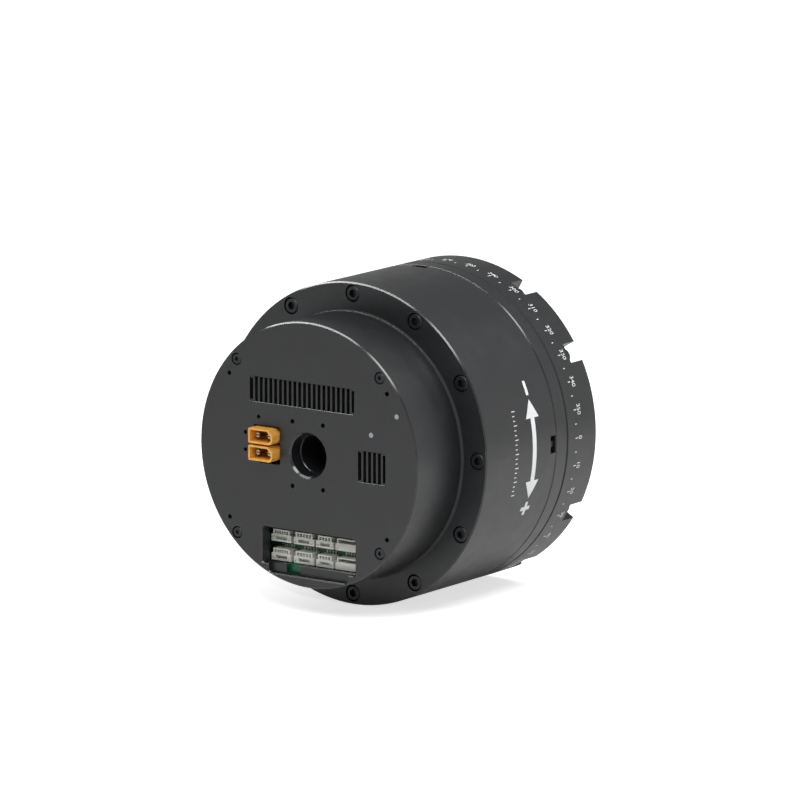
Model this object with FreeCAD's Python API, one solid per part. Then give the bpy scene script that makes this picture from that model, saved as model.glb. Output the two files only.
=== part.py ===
import FreeCAD, Part
import math
import os

# Hollow robot joint actuator: a frameless motor drives a hat-type strain wave gear around a through bore.
# Frame (mm): the axis is Y. The origin is the centre of the fixed bearing ring's front face, where the
# actuator is bolted to a robot arm. +Y is the output side, the cable side faces -Y, and +Z is up.
# Angles run from +X towards +Z. Depths are Y values, and a "rear" face is the one nearer the cable side.

V = FreeCAD.Vector

# ---- outer casing ----
BODY_RADIUS = 55.0
FLANGE_STEP = 10.0                # how far the screw flange stands out of the neck
NECK_WALL = 1.7
COVER_THICKNESS = 2.6
NECK_LENGTH = 22.6                # from the cover's seat to the screw flange
FLANGE_THICKNESS = 6.9
MOTOR_HOUSING_LENGTH = 33.7
SPLINE_FLANGE_THICKNESS = 6.55
RING_LENGTH = 17.25               # the fixed bearing ring
OUTPUT_STANDOUT = 1.0             # how far the output face stands proud of the fixed ring
EDGE_CHAMFER = 0.45
NECK_FILLET = 0.9
HOUSING_WALL = 8.0                # the motor housing's wall, round the stator
REAR_WEB = 4.0
FRONT_WEB = 3.5
BEARING_LIP = 0.8
SPIGOT_LENGTH = 2.0
SPIGOT_WALL = 3.0
SEAM_GROOVE_WIDTH = 0.5           # half of the dark seam in front of the flexspline's flange
SEAM_GROOVE_DEPTH = 0.8

# ---- fits and clearances ----
SLIP = 0.02                       # between a piece and the seat that locates it
RUNNING = 0.03                    # between a ball, roller or bush and what it runs on
AIR = 0.5                         # between pieces that pass each other
SCREW_SLACK = 0.2                 # between a screw's shank and a plain hole
HEAD_SLACK = 0.2                  # between a screw's head and its counterbore

# ---- screws: thread diameter, head diameter, head height and hexagon socket width ----
M3 = {"thread": 3.0, "head": 5.5, "height": 3.0, "socket": 2.5}
M25 = {"thread": 2.5, "head": 4.5, "height": 1.9, "socket": 2.0}
M2 = {"thread": 2.0, "head": 3.8, "height": 1.3, "socket": 1.3}
CASING_SCREW_INSET = 3.8          # from the body's surface to the circle of the casing screws
FLANGE_SCREW_COUNT = 12
FLANGE_SCREW_LENGTH = 10.0
OVERCUT = 1.0                     # how far a cut runs past the surface or the screw tip it clears
HEAD_SINK = 0.1                   # how deep screw heads lie below the faces they are sunk in
RING_SCREW_LENGTH = 22.0
RING_SCREW_ANGLES = [30, 60, 120, 150, 210, 240, 300, 330]
NOTCH_WIDTH = 6.9
NOTCH_LENGTH = 7.1
MOUNT_HOLE_COUNT = 12
MOUNT_HOLE_INSET = 5.0            # from the body's surface to the circle of the mounting threads
MOUNT_TAP_RADIUS = 1.65           # tapping size of an M4 thread
MOUNT_TAP_DEPTH = 9.0
PRY_SLOT_ANGLES = [0, 90, 180, 270]
PRY_SLOT_WIDTH = 6.0
PRY_SLOT_LENGTH = 2.9
PRY_SLOT_DEPTH = 0.9
PRY_POCKET_WIDTH = 2.0
PRY_POCKET_DEPTH = 2.6
PRY_SLOT_EDGE = 0.5               # land between the slots and the housing's front edge

# ---- rear cover ----
COVER_BORE_STEP = 0.7             # how much wider the cover's bore is than the through tube's
COVER_BORE_CHAMFER = 0.65
COVER_SCREW_INSET = 3.2
COVER_SCREW_COUNT = 4
COVER_SCREW_TURN = 45.0
COVER_SCREW_LENGTH = 8.0
COVER_BOSS_RADIUS = 3.2
COVER_BOSS_LENGTH = 9.0
COVER_HUB_WALL = 1.57             # round the tube's bush
VENT_PITCH = 2.0
VENT_FIN = 0.8
VENT_FIN_RECESS = 0.35
VENT_CORNER = 0.6
VENT_BEVEL = 0.1
UPPER_VENT = {"x": -24.1, "z": 16.0, "height": 8.5, "slots": 22}
SIDE_VENT = {"x": 20.65, "z": -6.3, "height": 10.55, "slots": 6}
CLAMP_HOLE_RADIUS = 0.8           # tapping size of an M2 thread
CLAMP_HOLE_STEP = 1.63            # from the hub's outside to the circle of four holes round it
CLAMP_HOLE_ANGLES = [60, 120, 240, 300]
ACCESSORY_HOLE_INSET = 4.2
ACCESSORY_HOLE_ANGLES = [37, 143, 217, 323]
SMALL_HOLE_RADIUS = 0.7
SMALL_HOLES = [(-20.4, 10.95), (-25.9, 5.15), (-25.95, -0.75)]
SIGNAL_WINDOW = {"x": -19.2, "width": 38.6, "height": 12.2, "corner": 1.0}
SIGNAL_WINDOW_INSET = 6.4         # from the cover's rim to the window's lower edge
WINDOW_BEVEL = 0.4
WINDOW_COLLAR = 1.2               # wall of the collar behind the window
WINDOW_COLLAR_DEPTH = 1.9         # how far the collar runs in from the cover's seat
WINDOW_SILL = 0.55                # how far the strip's floor stands up into the window
WINDOW_SILL_BEVEL = 0.45
LABEL_STRIP = {"x": -16.6, "width": 32.8, "height": 3.0, "corner": 1.5, "depth": 2.0}
STRIP_PORT = {"x": -10.2, "width": 5.8, "height": 2.6}
RISER_LEFT = 1.5                  # the board's riser beyond the port, away from +X
RISER_RIGHT = 0.4
RISER_GAP = 0.3                   # from the riser to the lower headers
RISER_DEPTH = 1.2                 # from the cover's seat to the riser
PLUG_ROOM = {"left": 0.5, "right": 0.5, "below": 1.2, "above": 0.5, "corner": 0.8, "bevel": 0.1}
LIGHT_RADIUS = 0.85
OUTER_LIGHT_INSET = 4.6
OUTER_LIGHT_ANGLE = 25.4
INNER_LIGHT = (26.1, 10.0)

# ---- circuit boards ----
BOARD_THICKNESS = 1.6
BOARD_EDGE_GAP = 0.4
CONTROL_BOARD_DEPTH = 6.6         # from the cover's seat to the control board
BOARD_SPACING = 2.6
BOARD_SCREW_INSET = 4.9           # from the board's edge to the circle of its screws
BOARD_SCREW_ANGLES = [60, 120, 205, 335]
BOARD_SCREW_LENGTH = 12.0
STANDOFF_WIDTH = 5.0              # across the flats of a hexagonal standoff
STANDOFF_THREAD_SHARE = 0.7       # how far a standoff is tapped
POWER_BOARD_ROOM = 2.0            # round the encoder discs inside the power board's hole
ENCODER_BOARD_RIM = 2.6           # outside the circle of its screws
ENCODER_BOARD_ROOM = 2.5          # round the through tube
ENCODER_BOARD_THICKNESS = 1.2
ENCODER_SCREW_STEP = 3.2          # from the bearing boss to the circle of the standoffs
ENCODER_SCREW_ANGLES = [0, 120, 240]
ENCODER_SCREW_LENGTH = 4.0
ENCODER_GAP = 0.4
READ_HEAD_HEIGHT = 1.2
READ_HEAD_SIZE = 6.0
ENCODER_DISC_RIM = 7.5            # how far the encoder discs stand out of the rotor shaft
ENCODER_DISC_THICKNESS = 0.8
PLUG_WIDTH = 10.0
PLUG_HEIGHT = 5.15
PLUG_ROUNDING = 0.5               # along the plugs' outer edges
PLUG_PITCH = 5.85
PLUG_CENTRE = (-17.05, 2.2)       # midway between the two power plugs
PLUG_STANDOUT = 3.6               # how far the plugs stand out of the cover
PLUG_WALL = 0.65
PLUG_CORNERS = (1.2, 1.9)         # what is cut off the lower and the upper corner towards +X
PLUG_CORNER_TIGHTENING = 0.6      # how much less the cavity's corner is cut, per wall
PLUG_CAVITY = 8.5
PLUG_PIN_RADIUS = 0.8
PLUG_PIN_SPACING = 4.8
PLUG_PIN_RECESS = 1.9
PLUG_PIN_SLIT = 0.4
HEADER_HEIGHT = 4.1
HEADER_DEPTH = 4.2
HEADER_WALL = 0.4
HEADER_STEP = 0.75                # how far the upper part is set in at each end
HEADER_SHOULDER = 0.58            # the lower part's height as a share of the whole
HEADER_CAVITY = 3.2
MOUTH_SHARE = 0.72                # a contact's mouth as a share of the contacts' pitch
MOUTH_LOW = 0.62                  # its lower and upper edge as shares of the header's height
MOUTH_HIGH = 0.9
KEYWAY_SHARE = 0.55               # the keyway's width as a share of the header's
KEYWAY_LOW = 0.15                 # its lower and upper edge as shares of the header's height
KEYWAY_HIGH = 0.42
HEADER_PIP_RADIUS = 0.3          # ejector marks in the lower corners
HEADER_PIP_INSET = 0.85
HEADER_PIP_DEPTH = 0.3
HEADER_PIN = 0.4
HEADER_PIN_RECESS = 2.0
HEADER_TAIL = 0.9                 # solder tail on the board behind the header's upper edge
HEADER_TAIL_THICKNESS = 0.3
HEADER_SILL = 0.25                # from the window's lower edge to the lower row
HEADER_ROW_PITCH = 6.5
HEADERS = [(-18.9, 8.2), (-9.6, 8.4), (-0.3, 7.1), (7.7, 9.6)]   # left edge and width
HEADER_PIN_COUNTS = [6, 5, 4, 7]
HEADER_MOUTH_COUNTS = [6, 5, 4, 1]    # the widest header has one long mouth and no keyway
CHIP_HEIGHT = 1.2
CHIPS = [(-14.0, 24.0, 9.0), (2.0, 25.5, 7.0), (16.0, 22.0, 5.0), (25.5, -2.0, 7.0), (-29.0, 3.0, 5.0)]
TRANSISTOR_COUNT = 6
TRANSISTOR_SIZE = 5.2
TRANSISTOR_STEP = 6.0             # from the power board's hole to the circle of its transistors
TRANSISTOR_TURN = 30.0
CAPACITOR_RADIUS = 3.0
CAPACITOR_HEIGHT = 8.0
CAPACITOR_INSET = 5.9             # from the board's edge to the circle of its capacitors
CAPACITOR_ANGLES = [5, 48, 72, 108, 132, 174, 188, 350]
PHASE_LEAD_RADIUS = 0.9
PHASE_LEAD_INSET = 8.5            # from the housing's bore to the circle of the phase leads
PHASE_LEAD_ANGLES = [255, 270, 285]

# ---- through shaft, rotor and motor ----
TUBE_BORE_RADIUS = 6.5
TUBE_WALL = 1.5
TUBE_EDGE_CHAMFER = 0.15          # inside the tube's rear end
TUBE_REAR_GAP = 2.3               # from the cover's inner face to the tube's end
TUBE_FLANGE_STEP = 6.0            # how far the tube's flange stands out of the tube
TUBE_FLANGE_THICKNESS = 2.0
TUBE_SCREW_STEP = 3.2             # from the tube to the circle of its screws
TUBE_SCREW_LENGTH = 4.0
TUBE_SCREW_COUNT = 4
TUBE_SCREW_TURN = 45.0
BUSH_WALL = 1.4
BUSH_LENGTH = 3.4
SHAFT_BORE_GAP = 1.2              # between the through tube and the rotor shaft
SHAFT_RADIUS = 12.5
SHAFT_FLANGE_STEP = 5.0           # how far the shaft's drive flange stands out of it
SHAFT_FLANGE_THICKNESS = 2.5
SHAFT_TAIL = 2.2                  # shaft behind the rear bearing, for the encoder disc
STACK_LENGTH = 15.0
WINDING_OVERHANG = 4.5
WINDING_GAP = 0.8
STATOR_BORE_STEP = 1.0            # how much wider the stator's bore is than the brake
STATOR_YOKE = 4.5
STATOR_SLOTS = 24
TOOTH_WIDTH = 3.6
TOOTH_SHOE = 1.2
SLOT_OPENING = 1.6
COIL_THICKNESS = 1.35
COIL_INSULATION = 0.2
COIL_CORNER = 1.0
COIL_OUTER_SHARE = 1.5            # winding thickness near the yoke, against that near the bore
AIR_GAP = 0.8
MAGNET_THICKNESS = 2.5
MAGNET_COUNT = 20
MAGNET_GAP_ANGLE = 2.0
ROTOR_RIM = 3.6
ROTOR_WEB = 4.0
ROTOR_WEB_BITE = 1.0              # how deep the web reaches into the rim
ROTOR_HUB_WALL = 2.5

# ---- rotor bearings (25 x 37 x 7 deep-groove) and shaft seal ----
BEARING_SECTION = 6.0             # from the shaft to the bearing's outside
BALL_BEARING_WIDTH = 7.0
BALL_RADIUS = 1.98
BALL_SPACING = 6.9                # least distance from ball to ball along their circle
RACE_SHOULDER = 0.9               # gap between the shoulders and the balls' centre circle
CAGE_WALL = 0.5
CAGE_WIDTH = 5.0
BEARING_BOSS_WALL = 2.5
SEAL_LENGTH = 3.0
SEAL_WALL = 1.2
SEAL_WEB = 1.0
SEAL_LIP = 0.6                    # rubber at the lip's tip
SEAL_LIP_BACK = 0.4               # from the lip's tip to the seal's front
SEAL_LIP_EDGE = 0.8
SEAL_LIP_ROOT = 0.4

# ---- brake ----
BRAKE_LIFT = 0.25                 # how far the magnet draws the armature back
BRAKE_BORE_STEP = 1.5             # clear of the shaft
BRAKE_INNER_POLE = 4.5            # the iron inside the coil
BRAKE_COIL_WIDTH = 5.0
BRAKE_SCREW_STEP = 3.1            # from the coil's outside to the circle of the brake's screws
BRAKE_RIM = 2.4                   # outside the circle of the brake's screws
BRAKE_MAGNET_LENGTH = 6.0
BRAKE_COIL_DEPTH = 3.6
ARMATURE_THICKNESS = 1.5
FRICTION_THICKNESS = 2.0
FRICTION_STEP = 0.5               # how far the friction disc reaches past the coil
FRICTION_GAP = 0.05
END_PLATE_THICKNESS = 1.8
BRAKE_SCREW_COUNT = 3
BRAKE_SCREW_TURN = 60.0
BRAKE_SPRING_COUNT = 6
BRAKE_SPRING_STEP = 2.2           # from the brake's bore to the circle of its springs
BRAKE_SPRING_RADIUS = 1.1
BRAKE_SPRING_WIRE = 0.25
BRAKE_SPRING_LENGTH = 3.8
BRAKE_SPRING_TURNS = 5

# ---- strain wave gear (one turn of the output for 101 turns of the rotor) ----
FLEX_TEETH = 200
SPLINE_TEETH = FLEX_TEETH + 2
TOOTH_TIP = 0.10                  # tooth above and below the pitch circle
TOOTH_ROOT = 0.20
TOOTH_RISE_START = 0.18           # where a tooth starts to rise, reaches its tip and leaves it,
TOOTH_TIP_START = 0.5             # as shares of the pitch
TOOTH_TIP_END = 0.68
TOOTH_LENGTH = 9.0
FLEX_WALL = 0.25                  # under the teeth
DIAPHRAGM_THICKNESS = 0.6
CLAMPED_RIM = 11.0                # width of the flexspline's clamped flange
SPLINE_SETBACK = 6.4              # from the output face to the circular spline
SPLINE_RIM = 5.4375               # from the circular spline's pitch circle to its outside
SPLINE_COLLAR = 2.0
SPLINE_COLLAR_STEP = 2.0          # how far the collar stands out of the circular spline
WAVE_THROW = 0.28                 # how far the cam pushes the flexspline out
WAVE_SLACK = 0.1                  # between the oval's ends and the relaxed flexspline
WAVE_RACE = 1.2
WAVE_BALL_RADIUS = 1.9
WAVE_BALL_SPACING = 7.4
WAVE_BEARING_WIDTH = 7.0
WAVE_SCREW_STEP = 2.7             # from the shaft to the circle of the cam's screws
WAVE_SCREW_COUNT = 6
WAVE_SCREW_LENGTH = 8.0

# ---- crossed-roller bearing and output ----
RING_WALL = 12.1                  # the fixed ring's wall, from its bore to the body's surface
INNER_RING_WALL = 5.1
ROLLER_RADIUS = 2.5
ROLLER_END_GAP = 0.12
ROLLER_SPACING = 6.05
RING_GAP = 0.8                    # between the fixed and the turning ring
OUTPUT_FLANGE_THICKNESS = 6.0
OUTPUT_SCREW_INSET = 2.5          # from the circular spline's outside to the circle of these screws
OUTPUT_SCREW_COUNT = 12
OUTPUT_SCREW_LENGTH = 10.0
OUTPUT_TAP_STEP = 8.5             # from that circle in to the circle of the output threads
OUTPUT_TAP_COUNT = 8
OUTPUT_TAP_RADIUS = 1.65
OUTPUT_TAP_DEPTH = 5.0
SEAL_SECTION = 3.4
SEAL_SINK = 0.2
DISC_HUB_WALL = 3.0               # the output encoder disc's hub on the tube
DISC_HUB_LENGTH = 1.6

# ---- faces along the axis, from the front to the rear ----
FRONT = 0.0
OUTPUT_FACE = FRONT + OUTPUT_STANDOUT
SPLINE_SEAT = FRONT - RING_LENGTH
MOTOR_FRONT = SPLINE_SEAT - SPLINE_FLANGE_THICKNESS
MOTOR_REAR = MOTOR_FRONT - MOTOR_HOUSING_LENGTH
FLANGE_REAR = MOTOR_REAR - FLANGE_THICKNESS
COVER_SEAT = FLANGE_REAR - NECK_LENGTH
COVER_REAR = COVER_SEAT - COVER_THICKNESS

CONTROL_REAR = COVER_SEAT + CONTROL_BOARD_DEPTH
CONTROL_FRONT = CONTROL_REAR + BOARD_THICKNESS
POWER_REAR = CONTROL_FRONT + BOARD_SPACING
POWER_FRONT = POWER_REAR + BOARD_THICKNESS

REAR_WEB_FRONT = FLANGE_REAR + REAR_WEB
REAR_BEARING = REAR_WEB_FRONT - BEARING_LIP - BALL_BEARING_WIDTH     # rear face of the rear bearing
FRONT_BEARING = MOTOR_FRONT - BEARING_LIP - BALL_BEARING_WIDTH       # rear face of the front bearing
SHAFT_REAR = REAR_BEARING - SHAFT_TAIL
INPUT_DISC = SHAFT_REAR + SLIP
ENCODER_FRONT = INPUT_DISC - ENCODER_GAP - READ_HEAD_HEIGHT
ENCODER_REAR = ENCODER_FRONT - ENCODER_BOARD_THICKNESS
OUTPUT_DISC = ENCODER_REAR - READ_HEAD_HEIGHT - ENCODER_GAP - ENCODER_DISC_THICKNESS

STATOR_FRONT = MOTOR_FRONT - FRONT_WEB - WINDING_GAP - WINDING_OVERHANG
STATOR_REAR = STATOR_FRONT - STACK_LENGTH

BRAKE_REAR = REAR_WEB_FRONT
BRAKE_FRONT = BRAKE_REAR + BRAKE_MAGNET_LENGTH
ARMATURE_REAR = BRAKE_FRONT + BRAKE_LIFT
FRICTION_REAR = ARMATURE_REAR + ARMATURE_THICKNESS + FRICTION_GAP
END_PLATE_REAR = FRICTION_REAR + FRICTION_THICKNESS + FRICTION_GAP
END_PLATE_FRONT = END_PLATE_REAR + END_PLATE_THICKNESS

OUTPUT_FLANGE_REAR = OUTPUT_FACE - OUTPUT_FLANGE_THICKNESS
TOOTH_FRONT = OUTPUT_FACE - SPLINE_SETBACK
TOOTH_REAR = TOOTH_FRONT - TOOTH_LENGTH
INNER_RING_REAR = TOOTH_REAR + SLIP
ROLLER_PLANE = (OUTPUT_FLANGE_REAR + INNER_RING_REAR) / 2

# ---- radii worked out inwards from the body's surface ----
NECK_RADIUS = BODY_RADIUS - FLANGE_STEP
NECK_BORE = NECK_RADIUS - NECK_WALL
COVER_SCREW_CIRCLE = NECK_RADIUS - COVER_SCREW_INSET
ACCESSORY_HOLE_CIRCLE = NECK_RADIUS - ACCESSORY_HOLE_INSET
OUTER_LIGHT_CIRCLE = NECK_RADIUS - OUTER_LIGHT_INSET
BOARD_RADIUS = NECK_BORE - BOARD_EDGE_GAP
BOARD_SCREW_CIRCLE = BOARD_RADIUS - BOARD_SCREW_INSET
CAPACITOR_CIRCLE = BOARD_RADIUS - CAPACITOR_INSET
CASING_SCREW_CIRCLE = BODY_RADIUS - CASING_SCREW_INSET
MOUNT_CIRCLE = BODY_RADIUS - MOUNT_HOLE_INSET
HOUSING_BORE_RADIUS = BODY_RADIUS - HOUSING_WALL
PHASE_LEAD_CIRCLE = HOUSING_BORE_RADIUS - PHASE_LEAD_INSET
DIAPHRAGM_RADIUS = BODY_RADIUS - CLAMPED_RIM
RING_BORE = BODY_RADIUS - RING_WALL
INNER_RING_OUTER = RING_BORE - RING_GAP
ROLLER_CIRCLE = (RING_BORE + INNER_RING_OUTER) / 2
ROLLER_COUNT = 2 * int(math.pi * ROLLER_CIRCLE / ROLLER_SPACING)
GROOVE_HALF = (ROLLER_RADIUS + RUNNING) * math.sqrt(2)
SPLINE_OUTER = INNER_RING_OUTER - INNER_RING_WALL
SPLINE_COLLAR_RADIUS = SPLINE_OUTER + SPLINE_COLLAR_STEP
OUTPUT_SCREW_CIRCLE = SPLINE_OUTER - OUTPUT_SCREW_INSET
OUTPUT_TAP_CIRCLE = OUTPUT_SCREW_CIRCLE - OUTPUT_TAP_STEP
SPLINE_PITCH = SPLINE_OUTER - SPLINE_RIM
FLEX_PITCH = SPLINE_PITCH * FLEX_TEETH / SPLINE_TEETH
FLEX_BORE = FLEX_PITCH - TOOTH_ROOT - FLEX_WALL
WAVE_OUTER = FLEX_BORE - WAVE_SLACK - WAVE_THROW
WAVE_BALL_CIRCLE = WAVE_OUTER - WAVE_RACE - WAVE_BALL_RADIUS
WAVE_BALL_COUNT = int(2 * math.pi * WAVE_BALL_CIRCLE / WAVE_BALL_SPACING)
CAM_RADIUS = WAVE_BALL_CIRCLE - WAVE_BALL_RADIUS - WAVE_RACE

# ---- radii worked out outwards from the through tube and the rotor shaft ----
TUBE_RADIUS = TUBE_BORE_RADIUS + TUBE_WALL
TUBE_FLANGE_RADIUS = TUBE_RADIUS + TUBE_FLANGE_STEP
TUBE_SCREW_CIRCLE = TUBE_RADIUS + TUBE_SCREW_STEP
COVER_BORE_RADIUS = TUBE_BORE_RADIUS + COVER_BORE_STEP
BUSH_RADIUS = TUBE_RADIUS + RUNNING + BUSH_WALL
COVER_HUB_RADIUS = BUSH_RADIUS + COVER_HUB_WALL
CLAMP_HOLE_CIRCLE = COVER_HUB_RADIUS + CLAMP_HOLE_STEP
ENCODER_BOARD_HOLE = TUBE_RADIUS + ENCODER_BOARD_ROOM
SHAFT_BORE = TUBE_RADIUS + SHAFT_BORE_GAP
SHAFT_FLANGE_RADIUS = SHAFT_RADIUS + SHAFT_FLANGE_STEP
WAVE_SCREW_CIRCLE = SHAFT_RADIUS + WAVE_SCREW_STEP
ENCODER_DISC_RADIUS = SHAFT_RADIUS + ENCODER_DISC_RIM
POWER_BOARD_HOLE = ENCODER_DISC_RADIUS + POWER_BOARD_ROOM
TRANSISTOR_CIRCLE = POWER_BOARD_HOLE + TRANSISTOR_STEP
BALL_BEARING_OUTER = SHAFT_RADIUS + BEARING_SECTION
BALL_CIRCLE = (SHAFT_RADIUS + BALL_BEARING_OUTER) / 2
BALL_COUNT = int(2 * math.pi * BALL_CIRCLE / BALL_SPACING)
BOSS_RADIUS = BALL_BEARING_OUTER + BEARING_BOSS_WALL
ENCODER_SCREW_CIRCLE = BOSS_RADIUS + ENCODER_SCREW_STEP
ENCODER_BOARD_RADIUS = ENCODER_SCREW_CIRCLE + ENCODER_BOARD_RIM
BRAKE_BORE_RADIUS = SHAFT_RADIUS + BRAKE_BORE_STEP
BRAKE_SPRING_CIRCLE = BRAKE_BORE_RADIUS + BRAKE_SPRING_STEP
BRAKE_COIL_INNER = BRAKE_BORE_RADIUS + BRAKE_INNER_POLE
BRAKE_COIL_OUTER = BRAKE_COIL_INNER + BRAKE_COIL_WIDTH
FRICTION_RADIUS = BRAKE_COIL_OUTER + FRICTION_STEP
BRAKE_SCREW_CIRCLE = BRAKE_COIL_OUTER + BRAKE_SCREW_STEP
BRAKE_RADIUS = BRAKE_SCREW_CIRCLE + BRAKE_RIM
STATOR_BORE_RADIUS = BRAKE_RADIUS + STATOR_BORE_STEP
MAGNET_OUTER = STATOR_BORE_RADIUS - AIR_GAP
MAGNET_INNER = MAGNET_OUTER - MAGNET_THICKNESS
ROTOR_RIM_INNER = MAGNET_INNER - ROTOR_RIM

# ---- heights of what lies low on the cover ----
WINDOW_LOW = SIGNAL_WINDOW_INSET - NECK_RADIUS
STRIP_LOW = WINDOW_LOW - LABEL_STRIP["height"]
LOWER_HEADER_Z = WINDOW_LOW + HEADER_SILL
UPPER_HEADER_Z = LOWER_HEADER_Z + HEADER_ROW_PITCH


# ---- building blocks ----
def rod(radius, y0, y1, x=0.0, z=0.0):
    """A cylinder along Y from y0 to y1."""
    return Part.makeCylinder(radius, y1 - y0, V(x, y0, z), V(0, 1, 0))


def ring(outer, inner, y0, y1):
    """A plain ring round the axis from y0 to y1."""
    return rod(outer, y0, y1).cut(rod(inner, y0, y1))


def turned(points):
    """A solid turned about the axis from an outline of (radius, y) points."""
    corners = [V(radius, y, 0) for radius, y in points]
    outline = Part.makePolygon(corners + corners[:1])
    return Part.Face(outline).revolve(V(0, 0, 0), V(0, 1, 0), 360)


def block(x0, x1, y0, y1, z0, z1):
    """A rectangular block between two opposite corners."""
    return Part.makeBox(x1 - x0, y1 - y0, z1 - z0, V(x0, y0, z0))


def rounded_block(x0, x1, y0, y1, z0, z1, corner):
    """A block whose four edges along Y are rounded."""
    plain = block(x0, x1, y0, y1, z0, z1)
    edges = [edge for edge in plain.Edges if abs(edge.tangentAt(edge.FirstParameter).y) > 0.9]
    return plain.makeFillet(corner, edges)


def opening(x0, x1, y0, y1, z0, z1, corner, bevel):
    """The two cuts of a rounded opening: the opening itself and the bevel round its edge at the lower y."""
    straight = rounded_block(x0, x1, y0, y1, z0, z1, corner)
    grown = rounded_block(x0 - bevel, x1 + bevel, y0, y1, z0 - bevel, z1 + bevel, corner + bevel)
    outlines = [min(shape.Faces, key=lambda face: face.CenterOfMass.y).OuterWire for shape in (grown, straight)]
    outlines[1] = move(outlines[1], y=bevel)
    return [straight, Part.makeLoft(outlines, True, True)]


def turn(shape, angle):
    """A copy turned about the axis from +X towards +Z."""
    copy = shape.copy()
    copy.rotate(V(0, 0, 0), V(0, -1, 0), angle)
    return copy


def move(shape, x=0.0, y=0.0, z=0.0):
    """A copy moved by x, y and z."""
    copy = shape.copy()
    copy.translate(V(x, y, z))
    return copy


def even_angles(count, first=0.0):
    """Angles of equal steps round the axis."""
    return [first + 360.0 * index / count for index in range(count)]


def circle_of(shape, radius, angles):
    """Copies of a shape made on the axis, moved out to a circle at the given angles."""
    return [turn(move(shape, x=radius), angle) for angle in angles]


def hexagon(width, y0, y1):
    """A hexagonal bar along Y, measured across its flats."""
    corner = width / math.sqrt(3)
    points = [V(corner * math.cos(math.radians(a)), y0, corner * math.sin(math.radians(a)))
              for a in range(0, 361, 60)]
    return Part.Face(Part.makePolygon(points)).extrude(V(0, y1 - y0, 0))


def cap_screw(size, length, toward=1):
    """A socket cap screw at the origin: its head's seat is at y=0 and its shank runs towards +Y or -Y."""
    head_radius = size["head"] / 2
    edge = 0.08 * size["head"]
    head = turned([(0, 0), (head_radius, 0), (head_radius, edge - size["height"]),
                   (head_radius - edge, -size["height"]), (0, -size["height"])])
    socket = hexagon(size["socket"], -size["height"], -0.45 * size["height"])
    tip = 0.15 * size["thread"]
    radius = size["thread"] / 2
    shank = turned([(0, 0), (radius, 0), (radius, length - tip), (radius - tip, length), (0, length)])
    screw = head.fuse(shank).removeSplitter().cut(socket)
    if toward < 0:
        screw.rotate(V(0, 0, 0), V(1, 0, 0), 180)
    return screw


def screw_hole(size, length):
    """The tapped hole of a screw: its mouth at y=0, running towards +Y past the screw's tip."""
    return rod(size["thread"] / 2 + SLIP, 0, length)


def plain_hole(size, y0, y1):
    """A clearance hole for a screw's shank."""
    return rod(size["thread"] / 2 + SCREW_SLACK, y0, y1)


def head_hole(size, y0, y1):
    """A counterbore for a screw's head."""
    return rod(size["head"] / 2 + HEAD_SLACK, y0, y1)


def toothed_outline(count, root, tip, y):
    """A closed outline of straight-sided teeth in a plane across the axis."""
    points = []
    profile = [(0.0, root), (TOOTH_RISE_START, root), (TOOTH_TIP_START, tip), (TOOTH_TIP_END, tip)]
    step = 2 * math.pi / count
    for index in range(count):
        for share, radius in profile:
            angle = (index + share) * step
            points.append(V(radius * math.cos(angle), y, radius * math.sin(angle)))
    return Part.makePolygon(points + points[:1])


def oval(mean, throw, y0, y1):
    """A cylinder along Y whose section is an ellipse, long across X."""
    ellipse = Part.Ellipse(V(mean + throw, y0, 0), V(0, y0, mean - throw), V(0, y0, 0)).toShape()
    return Part.Face(Part.Wire([ellipse])).extrude(V(0, y1 - y0, 0))


def save(name, solids):
    """Write one node: a single solid, or a group of separate solids."""
    group = solids if isinstance(solids, list) else [solids]
    shape = group[0] if len(group) == 1 else Part.makeCompound(group)
    if len(shape.Solids) != len(group) or not shape.isValid():
        raise ValueError(f"{name}: {len(shape.Solids)} solids for {len(group)} pieces")
    shape.exportStep(f"parts/{name}.step")
    print(f"{name:30} {len(group):3} solids {shape.Volume / 1000:9.3f} cm3")


# ---- rear cover and what shows through it ----
def vent_cuts(vent):
    """The slots of one vent and the shallow pocket that sets its fins back."""
    slot = VENT_PITCH - VENT_FIN
    width = vent["slots"] * VENT_PITCH - VENT_FIN
    z1 = vent["z"] + vent["height"]
    cuts = opening(vent["x"], vent["x"] + width, COVER_REAR, COVER_REAR + VENT_FIN_RECESS,
                   vent["z"], z1, VENT_CORNER, VENT_BEVEL)
    for index in range(vent["slots"]):
        left = vent["x"] + index * VENT_PITCH
        end = VENT_CORNER if index in (0, vent["slots"] - 1) else 0.0
        cuts.append(block(left, left + slot, COVER_REAR, COVER_SEAT, vent["z"] + end, z1 - end))
    return cuts


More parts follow.
